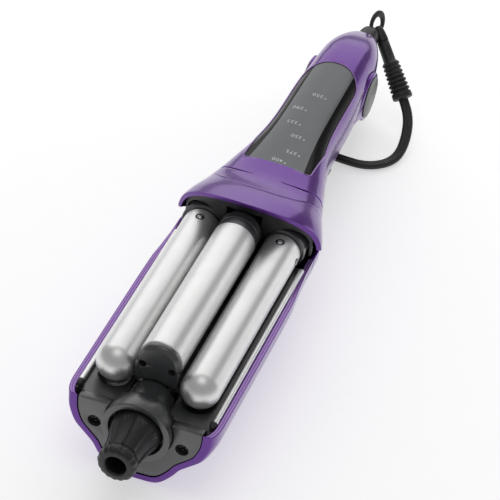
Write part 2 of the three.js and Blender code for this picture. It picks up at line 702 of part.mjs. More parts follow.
// from the strain relief down beside the handle, in a bend along the table, and under the handle to the hank
const cordRoute = [[33.5, 220.7, -22.2], [36.3, 217.9, -24.9], [39, 214.2, -27.4], [41.3, 209.4, -29.9],
  [42.9, 203.9, -32.8], [43.8, 198, -36], [43.9, 191.6, -39], [42.6, 184.8, -41.1], [39.4, 178.5, -41.9],
  [34.9, 173.3, -41.9], [29.6, 169.8, -41.9], [23.6, 167.7, -41.7], [16, 167, -41.4],
  [hankX + hankHalfW + layerShift + gap, 167, -41.2]];

// from the top of the hank down to the plug
const plugX = -38;
const plugRearY = 52;
const plugZ = -rimZ + 8.7;
const leadRoute = [[-29.8, 70, -26.6], [-31.6, 66, -28.4], [-34.6, 61.6, -31.6], [-37.2, 58, -34.6],
  [plugX, plugRearY + 3.4, plugZ], [plugX, plugRearY + gap, plugZ]];

function cordTube(name, route, steps) {
  const section = new THREE.Shape();
  section.absellipse(0, 0, cordThick / 2, cordW / 2, 0, Math.PI * 2);
  const path = new THREE.CatmullRomCurve3(route.map((point) => new THREE.Vector3(...point)));
  const geometry = new THREE.ExtrudeGeometry(section, { steps, curveSegments: 8, extrudePath: path });
  return piece(name, geometry, black, 0.6, 0);
}

// the stack of turns leans to the right as it rises
function leaning(shape) {
  const lean = new THREE.Matrix4().set(1, 0, hankLean, -hankLean * hankBottom, 0, 1, 0, 0, 0, 0, 1, 0, 0, 0, 0, 1);
  return shape.applyMatrix4(lean);
}

function cordHank() {
  const outline = new THREE.Shape();
  outline.absarc(hankX, hankFrontY + hankRun, hankHalfW, 0, Math.PI, false);
  outline.absarc(hankX, hankFrontY, hankHalfW, Math.PI, Math.PI * 2, false);
  const depth = hankTop - hankBottom;
  const hank = new THREE.ExtrudeGeometry(outline, { depth, bevelEnabled: false, curveSegments: 10 });
  return piece('cord_hank', leaning(hank.translate(0, 0, hankBottom)), black, 0.6, 0);
}

// a band round the middle of the hank
function cordTie() {
  const half = hankHalfW + gap;
  const middle = hankFrontY + hankRun * 0.3;
  const outer = box(hankX - half - 0.8, hankX + half + 0.8, middle - 5, middle + 5, hankBottom - 1.1, hankTop + 1.1);
  const inner = box(hankX - half, hankX + half, middle - 7, middle + 7, hankBottom - gap, hankTop + gap);
  return piece('cord_tie', solid(leaning(outer)).subtract(solid(leaning(inner))), black, 0.7, 0);
}

const plugLength = 36;
const plugHalfWidth = 11;
const plugHalfHeight = 8.5;

// a two-pin plug that lies flat with its pins to the front
function plugParts() {
  const plug = new THREE.Group();
  plug.position.set(plugX, plugRearY, plugZ);
  const outline = new THREE.Shape();
  outline.moveTo(-5, 0);
  outline.lineTo(-plugHalfWidth, -14);
  outline.lineTo(-plugHalfWidth, -plugLength);
  outline.lineTo(plugHalfWidth, -plugLength);
  outline.lineTo(plugHalfWidth, -14);
  outline.lineTo(5, 0);
  const body = new THREE.ExtrudeGeometry(outline, { depth: 2 * plugHalfHeight, bevelEnabled: false });
  body.translate(0, 0, -plugHalfHeight);
  plug.add(piece('plug_body', body, black, 0.5, 0));
  for (const side of [-1, 1]) {
    const name = side > 0 ? 'plug_pin_right' : 'plug_pin_left';
    const x = side * 6.35;
    plug.add(piece(name, box(x - 0.75, x + 0.75, -plugLength - 17, -plugLength - gap, -3.1, 3.1), steel, 0.3, 1));
  }
  return plug;
}

// ---------------------------------------------------------------- assembly
const waver = new THREE.Group();
waver.position.set(0, barrelRootY, rimZ);

const lowerJaw = new THREE.Group();
lowerJaw.add(trayShell(), armShell(), armCover(), troughInsert(), endPlate(), dialHousing(), dialAxle(), rearGuide());
const centre = new THREE.Group();
centre.add(centreTube(), centreFrontCap(), followerPin(), centreCollar(), slideTongue());
centre.add(heater('centre_heater', 0, centreZ, -112, -20));
const dial = new THREE.Group();
dial.add(dialKnob(), dialGrip(), scrollCam(), dialScrew());
const upperJaw = new THREE.Group();
upperJaw.add(headCover(), handleTop(), panelBezel(), controlPanel(), handleBottom(), rearCap(), hingeSpring());
upperJaw.add(circuitBoard(), swivelBall(), hangingLoop());
for (const side of [-1, 1]) {
  lowerJaw.add(sideStrip(side), stripEnd(side), plateScrew(side), hingePin(side), hingeCap(side));
  centre.add(capScrew(side));
  upperJaw.add(outerTube(side), outerCollar(side), barrelMount(side), barrelTopScrew(side), barrelSideScrew(side));
  const name = side > 0 ? 'outer_heater_right' : 'outer_heater_left';
  upperJaw.add(heater(name, side * outerX, outerZ, -112, -20));
}
waver.add(lowerJaw, centre, dial, upperJaw, strainRelief());
waver.add(cordTube('cord_run', cordRoute, 10), cordHank(), cordTie(), cordTube('cord_lead', leadRoute, 4), plugParts());

export default waver;
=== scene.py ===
"""Looks of a three-barrel deep waver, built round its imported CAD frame.

Sizes are millimetres in the tool's own frame: Y = 0 just before the barrels' rear ends, Z = 0
near the tray's rim, +Y towards the handle. They become metres in the row frame when a mesh is made.
"""

import json
import math

import bmesh
import bpy
import numpy as np
from mathutils import Matrix, Vector


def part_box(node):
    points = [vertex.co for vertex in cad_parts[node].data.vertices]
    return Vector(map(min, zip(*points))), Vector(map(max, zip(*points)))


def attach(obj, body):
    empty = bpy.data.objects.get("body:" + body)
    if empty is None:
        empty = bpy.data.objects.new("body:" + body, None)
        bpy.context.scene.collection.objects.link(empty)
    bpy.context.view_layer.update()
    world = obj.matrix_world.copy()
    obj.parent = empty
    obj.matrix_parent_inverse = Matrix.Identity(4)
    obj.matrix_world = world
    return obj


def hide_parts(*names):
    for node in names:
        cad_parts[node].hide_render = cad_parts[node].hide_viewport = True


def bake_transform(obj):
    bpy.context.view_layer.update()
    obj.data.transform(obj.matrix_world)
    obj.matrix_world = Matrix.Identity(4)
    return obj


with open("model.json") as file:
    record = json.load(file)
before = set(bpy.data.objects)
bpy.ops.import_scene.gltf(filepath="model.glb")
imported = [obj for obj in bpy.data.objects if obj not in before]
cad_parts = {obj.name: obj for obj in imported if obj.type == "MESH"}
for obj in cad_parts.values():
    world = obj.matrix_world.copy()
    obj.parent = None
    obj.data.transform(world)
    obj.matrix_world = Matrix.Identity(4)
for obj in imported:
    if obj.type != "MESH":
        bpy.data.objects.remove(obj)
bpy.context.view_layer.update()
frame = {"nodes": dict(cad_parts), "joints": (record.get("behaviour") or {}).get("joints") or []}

MM = 0.001
TRAY_TOP = 2
TUBE_REAR_Y = 2
tube_low, tube_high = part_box("outer_tube_right")
tray_low, tray_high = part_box("tray_shell")
ORIGIN = Vector((0, tube_high.y - TUBE_REAR_Y * MM, tray_high.z - TRAY_TOP * MM))
TABLE_Z = (tray_low.z - ORIGIN.z) / MM

OUTER_R = (tube_high.x - tube_low.x) / 2 / MM
OUTER_X = (tube_high.x + tube_low.x) / 2 / MM
OUTER_Z = ((tube_high.z + tube_low.z) / 2 - ORIGIN.z) / MM
OUTER_DOME_Y = (tube_low.y - ORIGIN.y) / MM + OUTER_R
centre_low, centre_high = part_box("centre_tube")
CENTRE_R = (centre_high.x - centre_low.x) / 2 / MM
CENTRE_Z = ((centre_high.z + centre_low.z) / 2 - ORIGIN.z) / MM
CENTRE_FRONT_Y = (centre_low.y - ORIGIN.y) / MM
CENTRE_REAR_Y = (centre_high.y - ORIGIN.y) / MM
TRAY_W = tray_high.x / MM
TRAY_DEPTH = -TABLE_Z
TRAY_REAR_Y = (tray_high.y - ORIGIN.y) / MM
HINGE = next(joint for joint in frame["joints"] if joint["name"] == "clamp_hinge")
HINGE_Y = (HINGE["pos_m"][1] - ORIGIN.y) / MM
DIAL_Z = -7
SLIDE_TRAVEL = 8
PARTING_Z = 2.8
HANDLE_END_Y = 236
SHELL_WALL = 2.4
EAR_R = 15.6
EAR_X0 = 17.2
EAR_X1 = 20.2
SWIVEL_X = 0.8
SWIVEL_Z = 5
SWIVEL_R = 6.7
SIDES = ((-1, "left"), (1, "right"))


def place(x, y, z):
    """A point in the row frame, in metres."""
    return Vector((x * MM, ORIGIN.y + y * MM, ORIGIN.z + z * MM))


def lerp(a, b, t):
    return a + (b - a) * t


def clamp(value):
    """The value kept between 0 and 1."""
    return max(0.0, min(1.0, value))


# ---------------------------------------------------------------- camera
CAMERA_PLACE = (291.3, -1083.6, 912.8)
CAMERA_AZIMUTH = math.radians(14.742)
CAMERA_ELEVATION = math.radians(39.014)
CAMERA_ROLL = math.radians(8.252)
CAMERA_LENS = 183.5


def add_camera():
    azimuth, elevation, roll = CAMERA_AZIMUTH, CAMERA_ELEVATION, CAMERA_ROLL
    back = Vector((math.sin(azimuth) * math.cos(elevation), -math.cos(azimuth) * math.cos(elevation),
                   math.sin(elevation)))
    right = Vector((math.cos(azimuth), math.sin(azimuth), 0))
    up = back.cross(right)
    tilted_right = math.cos(roll) * right + math.sin(roll) * up
    tilted_up = back.cross(tilted_right)
    data = bpy.data.cameras.new("camera")
    data.lens = CAMERA_LENS
    data.clip_end = 20
    camera = bpy.data.objects.new("camera", data)
    turn = Matrix((tilted_right, tilted_up, back)).transposed().to_4x4()
    camera.matrix_world = Matrix.Translation(place(*CAMERA_PLACE)) @ turn
    bpy.context.scene.collection.objects.link(camera)
    bpy.context.scene.camera = camera


add_camera()


# ---------------------------------------------------------------- materials
def noise(tree, scale, detail=2.0):
    coordinates = tree.nodes.new("ShaderNodeTexCoord")
    texture = tree.nodes.new("ShaderNodeTexNoise")
    texture.inputs["Scale"].default_value = scale
    texture.inputs["Detail"].default_value = detail
    tree.links.new(coordinates.outputs["Object"], texture.inputs["Vector"])
    return texture.outputs["Fac"]


def spread(tree, value, low, high, socket):
    """Maps a noise value to low..high and drives a socket with it."""
    ranges = tree.nodes.new("ShaderNodeMapRange")
    ranges.inputs["From Min"].default_value = 0.3
    ranges.inputs["From Max"].default_value = 0.7
    ranges.inputs["To Min"].default_value = low
    ranges.inputs["To Max"].default_value = high
    tree.links.new(value, ranges.inputs["Value"])
    tree.links.new(ranges.outputs["Result"], socket)


def tint(tree, value, first, second, socket):
    """Mixes two colours by a noise value."""
    mix = tree.nodes.new("ShaderNodeMix")
    mix.data_type = "RGBA"
    mix.inputs["A"].default_value = (*first, 1)
    mix.inputs["B"].default_value = (*second, 1)
    tree.links.new(value, mix.inputs["Factor"])
    tree.links.new(mix.outputs["Result"], socket)


def finish(name, first, second, roughness, metallic, coat, grain, grain_depth):
    """A moulded or metal finish: two close colours, a roughness range and a fine surface grain."""
    material = bpy.data.materials.new(name)
    material.use_nodes = True
    tree = material.node_tree
    shader = tree.nodes["Principled BSDF"]
    shader.inputs["Metallic"].default_value = metallic
    shader.inputs["Coat Weight"].default_value = coat
    shader.inputs["Coat Roughness"].default_value = 0.06
    tint(tree, noise(tree, 60, 3), first, second, shader.inputs["Base Color"])
    spread(tree, noise(tree, 140, 4), *roughness, shader.inputs["Roughness"])
    bump = tree.nodes.new("ShaderNodeBump")
    bump.inputs["Strength"].default_value = 0.35
    bump.inputs["Distance"].default_value = grain_depth * MM
    tree.links.new(noise(tree, grain), bump.inputs["Height"])
    tree.links.new(bump.outputs["Normal"], shader.inputs["Normal"])
    return material


def tune(material, settings):
    """Sets constants on the material's shader."""
    shader = material.node_tree.nodes["Principled BSDF"]
    for socket, value in settings.items():
        shader.inputs[socket].default_value = value


PURPLE = finish("purple_gloss", (0.125, 0.028, 0.28), (0.14, 0.032, 0.3), (0.2, 0.26), 0.55, 0.35, 500, 0.006)
# painted shade: a darker copy of the purple, for surfaces inside the body that lie in shade
PURPLE_SHADED = finish("purple_painted_shade", (0.07, 0.018, 0.16), (0.085, 0.022, 0.19), (0.35, 0.45), 0, 0, 500, 0.02)
DARK = finish("dark_grey_satin", (0.024, 0.0255, 0.0275), (0.03, 0.032, 0.0345), (0.27, 0.34), 0, 0, 1500,
              0.03)
BLACK = finish("black_satin", (0.012, 0.012, 0.013), (0.018, 0.018, 0.019), (0.34, 0.46), 0, 0, 1200, 0.03)
GLOSS_BLACK = finish("black_gloss", (0.002, 0.002, 0.0025), (0.003, 0.003, 0.0035), (0.2, 0.26), 0, 0, 700,
                     0.004)
PANEL = finish("panel_grey", (0.115, 0.125, 0.135), (0.125, 0.135, 0.145), (0.3, 0.36), 0, 0.2, 900, 0.006)
SILVER = finish("silver_barrel", (0.82, 0.82, 0.815), (0.86, 0.86, 0.855), (0.36, 0.41), 0.85, 0, 2600, 0.03)
STRIP = finish("polished_strip", (0.82, 0.82, 0.83), (0.88, 0.88, 0.88), (0.32, 0.38), 0.9, 0, 900, 0.004)
STEEL = finish("steel", (0.5, 0.5, 0.51), (0.62, 0.62, 0.63), (0.22, 0.34), 1, 0, 1500, 0.02)
# painted highlight: a paler copy of the purple, for lines that stand for light caught on rounded edges
PAINTED_HIGHLIGHT = finish("purple_painted_highlight", (0.33, 0.17, 0.5), (0.36, 0.19, 0.54), (0.2, 0.26), 0.3, 0.3, 500, 0.004)
PALE = finish("pale_grey", (0.42, 0.43, 0.42), (0.46, 0.47, 0.46), (0.34, 0.42), 0, 0, 1200, 0.02)
DISC = finish("hinge_cap_grey", (0.17, 0.175, 0.175), (0.19, 0.195, 0.195), (0.34, 0.42), 0, 0, 1200, 0.02)
BOARD = finish("circuit_green", (0.02, 0.08, 0.035), (0.025, 0.1, 0.045), (0.4, 0.5), 0, 0, 900, 0.02)
VINYL = finish("cord_vinyl", (0.014, 0.014, 0.015), (0.02, 0.02, 0.021), (0.42, 0.54), 0, 0, 1500, 0.02)
PRINT = finish("white_print", (0.72, 0.73, 0.74), (0.8, 0.81, 0.82), (0.4, 0.5), 0, 0, 900, 0.002)
FAINT = finish("faint_marks", (0.09, 0.092, 0.097), (0.11, 0.112, 0.118), (0.4, 0.5), 0, 0, 900, 0.002)
tune(DARK, {"Specular IOR Level": 1.0, "Coat Weight": 0.5, "Coat Roughness": 0.3})
tune(GLOSS_BLACK, {"Specular IOR Level": 0.12})


# ---------------------------------------------------------------- mesh helpers
def circle(count):
    """The cosine and sine at equal steps round a circle."""
    return [(math.cos(2 * math.pi * k / count), math.sin(2 * math.pi * k / count)) for k in range(count)]


def settle(thing, sharp=34):
    """Smooth shading with sharp edges kept."""
    mesh = thing.data
    mesh.polygons.foreach_set("use_smooth", [True] * len(mesh.polygons))
    mesh.set_sharp_from_angle(angle=math.radians(sharp))


def raw(name, points, faces):
    """A closed mesh object from local points, in the row frame."""
    mesh = bpy.data.meshes.new(name)
    mesh.from_pydata([place(*point) for point in points], [], [list(face) for face in faces])
    shape = bmesh.new()
    shape.from_mesh(mesh)
    bmesh.ops.recalc_face_normals(shape, faces=shape.faces)
    shape.to_mesh(mesh)
    shape.free()
    thing = bpy.data.objects.new(name, mesh)
    bpy.context.scene.collection.objects.link(thing)
    return thing


def welded(thing):
    """Joins points that coincide and turns the faces outwards."""
    shape = bmesh.new()
    shape.from_mesh(thing.data)
    bmesh.ops.remove_doubles(shape, verts=shape.verts, dist=1e-6)
    bmesh.ops.recalc_face_normals(shape, faces=shape.faces)
    shape.to_mesh(thing.data)
    shape.free()
    return thing


def baked(thing):
    """Replaces the mesh by what its modifiers make of it."""
    graph = bpy.context.evaluated_depsgraph_get()
    mesh = bpy.data.meshes.new_from_object(thing.evaluated_get(graph))
    thing.modifiers.clear()
    thing.data = mesh
    return thing


def combine(thing, other, operation):
    """Joins or cuts a mesh with another, which is used up."""
    modifier = thing.modifiers.new("join", "BOOLEAN")
    modifier.operation = operation
    modifier.solver = "EXACT"
    modifier.object = other
    baked(thing)
    bpy.data.objects.remove(other)
    return thing


def cut(thing, *cutters):
    for cutter in cutters:
        combine(thing, cutter, "DIFFERENCE")
    return thing


def soften(thing, width, segments=2, angle=38):
    """Rounds the edges sharper than an angle in degrees."""
    modifier = thing.modifiers.new("edge", "BEVEL")
    modifier.width = width * MM
    modifier.segments = segments
    modifier.limit_method = "ANGLE"
    modifier.angle_limit = math.radians(angle)
    return baked(thing)


def dress(thing, material, body, *nodes, sharp=34):
    """Gives a finished mesh its material, shading, body and the CAD nodes it stands for."""
    thing.data.materials.clear()
    thing.data.materials.append(material)
    settle(thing, sharp)
    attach(thing, body)
    if nodes:
        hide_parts(*nodes)
    return thing


def sweep_grid(rings, closed_ends=True):
    """Points and faces of a tube through rings of equal length."""
    count = len(rings[0])
    points = [point for ring in rings for point in ring]
    faces = []
    for i in range(len(rings) - 1):
        for j in range(count):
            k = (j + 1) % count
            faces.append((i * count + j, i * count + k, (i + 1) * count + k, (i + 1) * count + j))
    if closed_ends:
        faces.append(tuple(range(count)))
        faces.append(tuple(range((len(rings) - 1) * count, len(rings) * count)))
    return points, faces


def thin_shell(name, outer_lines, inner_lines):
    """A closed wall between two grids of lines, such as the outside and inside of a moulding."""
    rings = [list(outer) + list(reversed(inner)) for outer, inner in zip(outer_lines, inner_lines)]
    points, faces = sweep_grid(rings, closed_ends=False)
    count = len(rings[0])
    half = count // 2
    for ring in (0, len(rings) - 1):
        base = ring * count
        for j in range(half - 1):
            faces.append((base + j, base + j + 1, base + count - 2 - j, base + count - 1 - j))
    return raw(name, points, faces)


def turned(name, profile, x, z, segments=72):
    """A solid of revolution about a line along Y; profile is (radius, y), closed on the axis or on itself."""
    rings = [[(x + radius * c, y, z + radius * s) for c, s in circle(segments)] for radius, y in profile]
    closed = profile[0] == profile[-1]
    points, faces = sweep_grid(rings, closed_ends=not closed)
    return welded(raw(name, points, faces))


def rod(name, radius, y0, y1, x, z, segments=48):
    return turned(name, [(radius, y0), (radius, y1)], x, z, segments)


def turned_along(name, profile, start, axes, segments, squash=1.0):
    """A solid of revolution about any line; axes are its direction and two directions across it."""
    direction, side, up = axes
    rings = [[tuple(start + direction * station + side * (radius * c) + up * (radius * squash * s))
              for c, s in circle(segments)] for radius, station in profile]
    return raw(name, *sweep_grid(rings))


def cross_rod(name, radius, x0, x1, y, z):
    rings = [[(x, y + radius * c, z + radius * s) for c, s in circle(72)] for x in sorted((x0, x1))]
    return raw(name, *sweep_grid(rings))


def block(name, x0, x1, y0, y1, z0, z1):
    rings = [[(x0, y, z0), (x1, y, z0), (x1, y, z1), (x0, y, z1)] for y in (y0, y1)]
    return raw(name, *sweep_grid(rings))


def prism(name, outline, z0, z1):
    rings = [[(x, y, z) for x, y in outline] for z in (z0, z1)]
    return raw(name, *sweep_grid(rings))


def catmull(points, steps):
    """A smooth line through points, each of any number of values."""
    line = np.array(points, float)
    padded = np.vstack([line[0], line, line[-1]])
    result = []
    for i in range(len(line) - 1):
        a, b, c, d = padded[i:i + 4]
        for t in np.linspace(0, 1, steps, endpoint=False):
            result.append(0.5 * (2 * b + (c - a) * t + (2 * a - 5 * b + 4 * c - d) * t * t
                                 + (3 * b - a - 3 * c + d) * t ** 3))
    result.append(line[-1])
    return np.array(result)


def along(*pairs):
    """A smooth value along Y through (y, value) pairs."""
    table = catmull(pairs, 24)
    return lambda y: float(np.interp(y, table[:, 0], table[:, 1]))


# ---------------------------------------------------------------- the cord, first of all pieces
CORD_W = 6.5
CORD_THICK = 3.8
LAYER_STEP = 3.9
LAYER_SHIFT = 1.5
LAYERS = 5
HANK_X = -16
FOLD_R = 3 * CORD_W
HANK_RUN = 128
HANK_FRONT_Y = 86
HANK_Z = TABLE_Z + 1.4 + CORD_THICK / 2
HANK_ENTRY_Y = 167
HANK_ENTRY_R = 26
TURN_STEPS = 12

CORD_ROUTE = [(33.5, 220.7, -22.2), (36.3, 217.9, -24.9), (39, 214.2, -27.4), (41.3, 209.4, -29.9),
              (42.9, 203.9, -32.8), (43.8, 198, -36), (43.9, 191.6, -39), (42.6, 184.8, -41.1),
              (39.4, 178.5, -41.9), (34.9, 173.3, -41.9), (29.6, 169.8, -41.9), (23.6, 167.7, -41.7),
              (16, 167, -41.4), (8, 167, -41.2), (0, 167, -41.2)]
LEAD_ROUTE = [(-29.6, 74, -25.8), (-29.8, 70, -26.6), (-31.6, 66, -28.4), (-34.6, 61.6, -31.6),
              (-37.2, 58, -34.6), (-38, 55.4, -35.8), (-38, 52.3, -35.8)]


def hank_line():
    """The line of the folded stretch: round its ends, up a layer at each front end."""
    left = HANK_X - FOLD_R
    shares = [k / TURN_STEPS for k in range(TURN_STEPS + 1)]
    line = []
    for share in shares:
        angle = math.pi / 2 * (1 + share)
        line.append((left + HANK_ENTRY_R * (1 + math.cos(angle)),
                     HANK_ENTRY_Y - HANK_ENTRY_R * (1 - math.sin(angle)), HANK_Z))
    line += [(left, y, HANK_Z) for y in (128, 114, 100)]

    def at(x, y, layer):
        return (x + LAYER_SHIFT * layer, y, HANK_Z + LAYER_STEP * layer)

    def fold(y, start, share, layer):
        angle = start + math.pi * share
        return at(HANK_X + FOLD_R * math.cos(angle), y + FOLD_R * math.sin(angle), layer)

    for layer in range(1, LAYERS):
        line += [fold(HANK_FRONT_Y, math.pi, share, layer - 1 + share) for share in shares]
        line += [at(HANK_X + FOLD_R, HANK_FRONT_Y + HANK_RUN * t, layer) for t in (0.2, 0.4, 0.6, 0.8)]
        line += [fold(HANK_FRONT_Y + HANK_RUN, 0, share, layer) for share in shares]
        line += [at(HANK_X - FOLD_R, HANK_FRONT_Y + HANK_RUN * t, layer) for t in (0.8, 0.6, 0.4, 0.2, 0)]
    return line


def flat_twin(name, line):
    """A two-core flat cord along a line: two round cores side by side with a groove between them."""
    core = CORD_THICK / 2
    offset = CORD_W / 2 - core
    section = []
    for side, start in ((1, -1), (-1, 1)):
        for k in range(9):
            angle = math.radians(start * 128 + side * 256 * k / 8)
            if side > 0:
                section.append((offset + core * math.cos(angle), core * math.sin(angle)))
            else:
                section.append((-offset - core * math.cos(angle), core * math.sin(angle)))
    rings = []
    for i, point in enumerate(line):
        ahead = line[min(i + 1, len(line) - 1)] - line[max(i - 1, 0)]
        ahead = ahead / np.linalg.norm(ahead)
        across = np.cross(ahead, (0, 0, 1))
        across = across / np.linalg.norm(across)
        up = np.cross(across, ahead)
        rings.append([tuple(point + across * u + up * v) for u, v in section])
    return raw(name, *sweep_grid(rings))


def add_cord():
    points = CORD_ROUTE + hank_line() + LEAD_ROUTE
    line = catmull(points, 3)
    cord = flat_twin("mains_cord", line)
    cord.data.materials.append(VINYL)
    settle(cord, 50)
    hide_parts("cord_run", "cord_hank", "cord_lead")
    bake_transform(cord)


add_cord()


# ---------------------------------------------------------------- the body's driving curves
body_width = along((-4, 43.6), (14, 44), (34, 38), (50, 32.8), (64, 29), (78, 25.5), (93, 22.7),
                   (112, 21.2), (145, 20.8), (165, 19.7), (185, 18.7), (198, 17.8), (211, 15.2), (223, 11),
                   (231, 6.8), (236, 3))
body_top = along((-4, 39), (14, 35), (34, 29.8), (52, 28.2), (80, 27.8), (165, 27.5), (188, 26.5),
                 (200, 24.6), (211, 21.4), (223, 16.4), (231, 11.6), (236, 8))
rear_bottom = along((188, -9.5), (200, -9.5), (211, -7.4), (223, -4.4), (231, -1.4), (236, 1))
arm_depth = along((12, 43.5), (30, 36), (55, 24.5), (80, 17.6), (110, 15), (170, 13.8))
tray_width = along((-138, 43), (-38, 43), (-17, 42), (-2, 41), (12, 40.9))

BOW = catmull([(1, 0), (0.99, 0.18), (0.955, 0.3), (0.885, 0.43), (0.76, 0.54), (0.62, 0.66), (0.525, 0.79),
               (0.4, 0.92), (0.27, 0.98), (0, 1)], 5)


ARC_STEPS = 84
SLOT_HALF = 10.6
SLOT_TOP = 31
COLLAR_R = 12.9


def roundness(y):
    """Power of the upper body's section: nearly an ellipse at the hood, squarer at the handle."""
    return lerp(2.2, 3, clamp((y + 4) / 64))


def top_z(x, y, under=0.0):
    """Height of the upper body's outer surface, or of one that lies under it."""
    power = roundness(y)
    across = min(abs(x) / (body_width(y) - under), 1)
    return PARTING_Z + (body_top(y) - under - PARTING_Z) * (1 - across ** power) ** (1 / power)


def arc_point(k, y, wall):
    """The k-th point of the upper body's section at y."""
    angle = math.pi * k / ARC_STEPS
    power = roundness(y)
    c = math.cos(angle)
    s = max(math.sin(angle), 0)
    x = (body_width(y) - wall) * math.copysign(abs(c) ** (2 / power), c)
    return x, PARTING_Z + (body_top(y) - wall - PARTING_Z) * s ** (2 / power)


def warped_arc(y_of_x, wall):
    """A section line of the upper body whose y changes with x."""
    line = []
    for k in range(ARC_STEPS + 1):
        y = y_of_x(0)
        for _ in range(6):
            x, z = arc_point(k, y, wall)
            y = y_of_x(x)
        line.append((x, y, z))
    return line


def lip_y(x):
    """Where the hood's front lip lies across its width."""
    return -3.5 + 19 * (x / 45) ** 2


def seam_y(x):
    """Where the seam between the head cover and the handle lies across its width."""
    return 19 + 21 * (abs(x) / 34) ** 3


# ---------------------------------------------------------------- upper jaw: head cover
def add_head():
    shares = np.linspace(0, 1, 22)

    def line(share, under):
        return warped_arc(lambda x: lerp(lip_y(x), min(seam_y(x), 52) - 0.2, share), under)

    cover = thin_shell("head_cover_skin", [line(s, 0) for s in shares], [line(s, SHELL_WALL) for s in shares])
    corner = [(-10, 10.4), (7, 10.4), (11, 9.8), (15, 8), (19, 5.6), (24, 2.6), (24, -10), (-10, -10)]
    sides = [[(x, y, z) for y, z in corner] for x in (-60, 60)]
    cut(cover, raw("corner_room", *sweep_grid(sides)))
    soften(cover, 0.55, 3, 50)
    dress(cover, PURPLE, "upper_jaw", "head_cover")
    add_front_wall()


def wall_foot(x):
    """Underside of the hood's front wall: over the collars' bores and the centre barrel's slot."""
    if abs(x) < SLOT_HALF:
        return SLOT_TOP
    across = abs(x) - OUTER_X
    foot = 12 if abs(x) < OUTER_X else PARTING_Z + 1
    if abs(across) < COLLAR_R + 0.3:
        foot = max(foot, OUTER_Z + math.sqrt((COLLAR_R + 0.3) ** 2 - across ** 2))
    return foot


def add_front_wall():
    edge = 38.4
    jumps = (SLOT_HALF, OUTER_X + COLLAR_R + 0.3)
    xs = list(np.linspace(0, edge, 78)) + [x + d for x in jumps for d in (-0.01, 0.01)]
    xs = [-x for x in sorted(xs, reverse=True)] + sorted(xs)[1:]
    sheets = []
    for behind in (2.2, 4.4):
        sheet = []
        for x in xs:
            y = lip_y(x) + behind
            top = top_z(x, y, 2.3)
            foot = min(wall_foot(x), top - 0.4)
            sheet.append([(x, y, lerp(foot, top, share)) for share in (0, 0.33, 0.67, 1)])
        sheets.append(sheet)
    # painted shade: the wall takes the black material to stand for the shade behind the hood's lip, though
    # the moulding itself is purple
    dress(thin_shell("head_front_wall_painted_shade", *sheets), BLACK, "upper_jaw")


# ---------------------------------------------------------------- upper jaw: handle shell and panel
PANEL_Y0 = 54
PANEL_Y1 = 168
PANEL_ROUND = 19
PANEL_CORNER = 3.5


def panel_half(y, margin=0.0):
    """Half width of the panel's opening in plan at y: rounded front corners and a round rear end."""
    start = PANEL_Y1 - PANEL_ROUND
    if y > start:
        share = (y - start) / (PANEL_ROUND - margin)
        return (min(body_width(start) * 0.86, 20.8) - margin) * math.sqrt(max(0, 1 - share ** 2))
    corner = max(0, PANEL_Y0 + margin + PANEL_CORNER - y)
    inset = PANEL_CORNER - math.sqrt(max(0, PANEL_CORNER ** 2 - corner ** 2))
    return min(body_width(y) * 0.86, 20.8) - margin - inset


def panel_outline(margin, front_margin):
    """The panel's opening in plan, all the way round."""
    start = PANEL_Y1 - PANEL_ROUND
    ys = [PANEL_Y0 + front_margin + PANEL_CORNER * (1 - math.cos(math.pi / 2 * k / 8)) for k in range(8)]
    ys += list(np.linspace(PANEL_Y0 + PANEL_CORNER + 0.5, start, 30))
    ys += [start + (PANEL_ROUND - margin) * math.sin(math.pi / 2 * k / 20) for k in range(1, 20)]
    right = [(panel_half(y, margin), y) for y in ys]
    return right + [(0, PANEL_Y1 - margin)] + [(-x, y) for x, y in reversed(right)]


def swivel_room():
    """A cutter for the mouth at the handle's rear end, flared so that its edge is clean."""
    radius = SWIVEL_R + 0.35
    profile = [(radius, 224), (radius, 226.6), (radius + 1.3, 228.4), (radius + 3, 230), (radius + 6, 232),
               (radius + 6, 260)]
    return turned("swivel_room", profile, SWIVEL_X, SWIVEL_Z, 64)


def ear_rooms():
    """Cutters for the two gaps that the fork's ears turn in."""
    return [cross_rod("ear_room", EAR_R + 0.5, side * (EAR_X0 - 0.4), side * 30, HINGE_Y, 0)
            for side in (-1, 1)]


def slit(side):
    """A cutter for the tapered crease in the handle's shoulder."""
    rings = []
    for share in np.linspace(0, 1, 9):
        x = side * lerp(8, 33, share)
        y = 37 + 10 * share ** 2.4
        top = top_z(x, y) + 3
        deep = top_z(x, y) - 2 * math.sin(math.pi / 2 * min(1, share * 1.6)) + 0.05
        half = 0.2 + 0.75 * share
        rings.append([(x, y - half, deep), (x, y + half, deep), (x, y + half + 0.9 * share, top),
                      (x, y - half, top)])
    return raw("slit", *sweep_grid(rings))


def add_handle():
    stations = list(np.linspace(19.2, 70, 26)) + list(np.linspace(72, 196, 40))[1:]
    stations += list(np.linspace(199, HANDLE_END_Y, 22))

    def line(station, under):
        fade = clamp((70 - station) / 50.8)
        return warped_arc(lambda x: station + (min(seam_y(x), 52) + 0.2 - 19.2) * fade, under)

    shell = thin_shell("handle_skin", [line(s, 0) for s in stations], [line(s, SHELL_WALL) for s in stations])
    cut(shell, prism("opening", panel_outline(0, 0), 5, 60), slit(1), slit(-1), *ear_rooms(), swivel_room())
    soften(shell, 0.35, 2, 50)
    dress(shell, PURPLE, "upper_jaw", "handle_top_shell")
    # a boss inside each ear closes the gap that the ear turns in; it takes a darker copy of the purple,
    # painted shade for the inside of the gap
    for side, word in SIDES:
        boss = cross_rod("hinge_boss_" + word, EAR_R + 0.2, side * 10, side * (EAR_X0 - 0.5), HINGE_Y, 0)
        cut(boss, block("under", -40, 40, 150, 220, -40, PARTING_Z + 0.2))
        dress(boss, PURPLE_SHADED, "upper_jaw")


grey_half = along((54, 17), (75, 14.8), (100, 13.4), (150, 12.8), (168, 12.6))


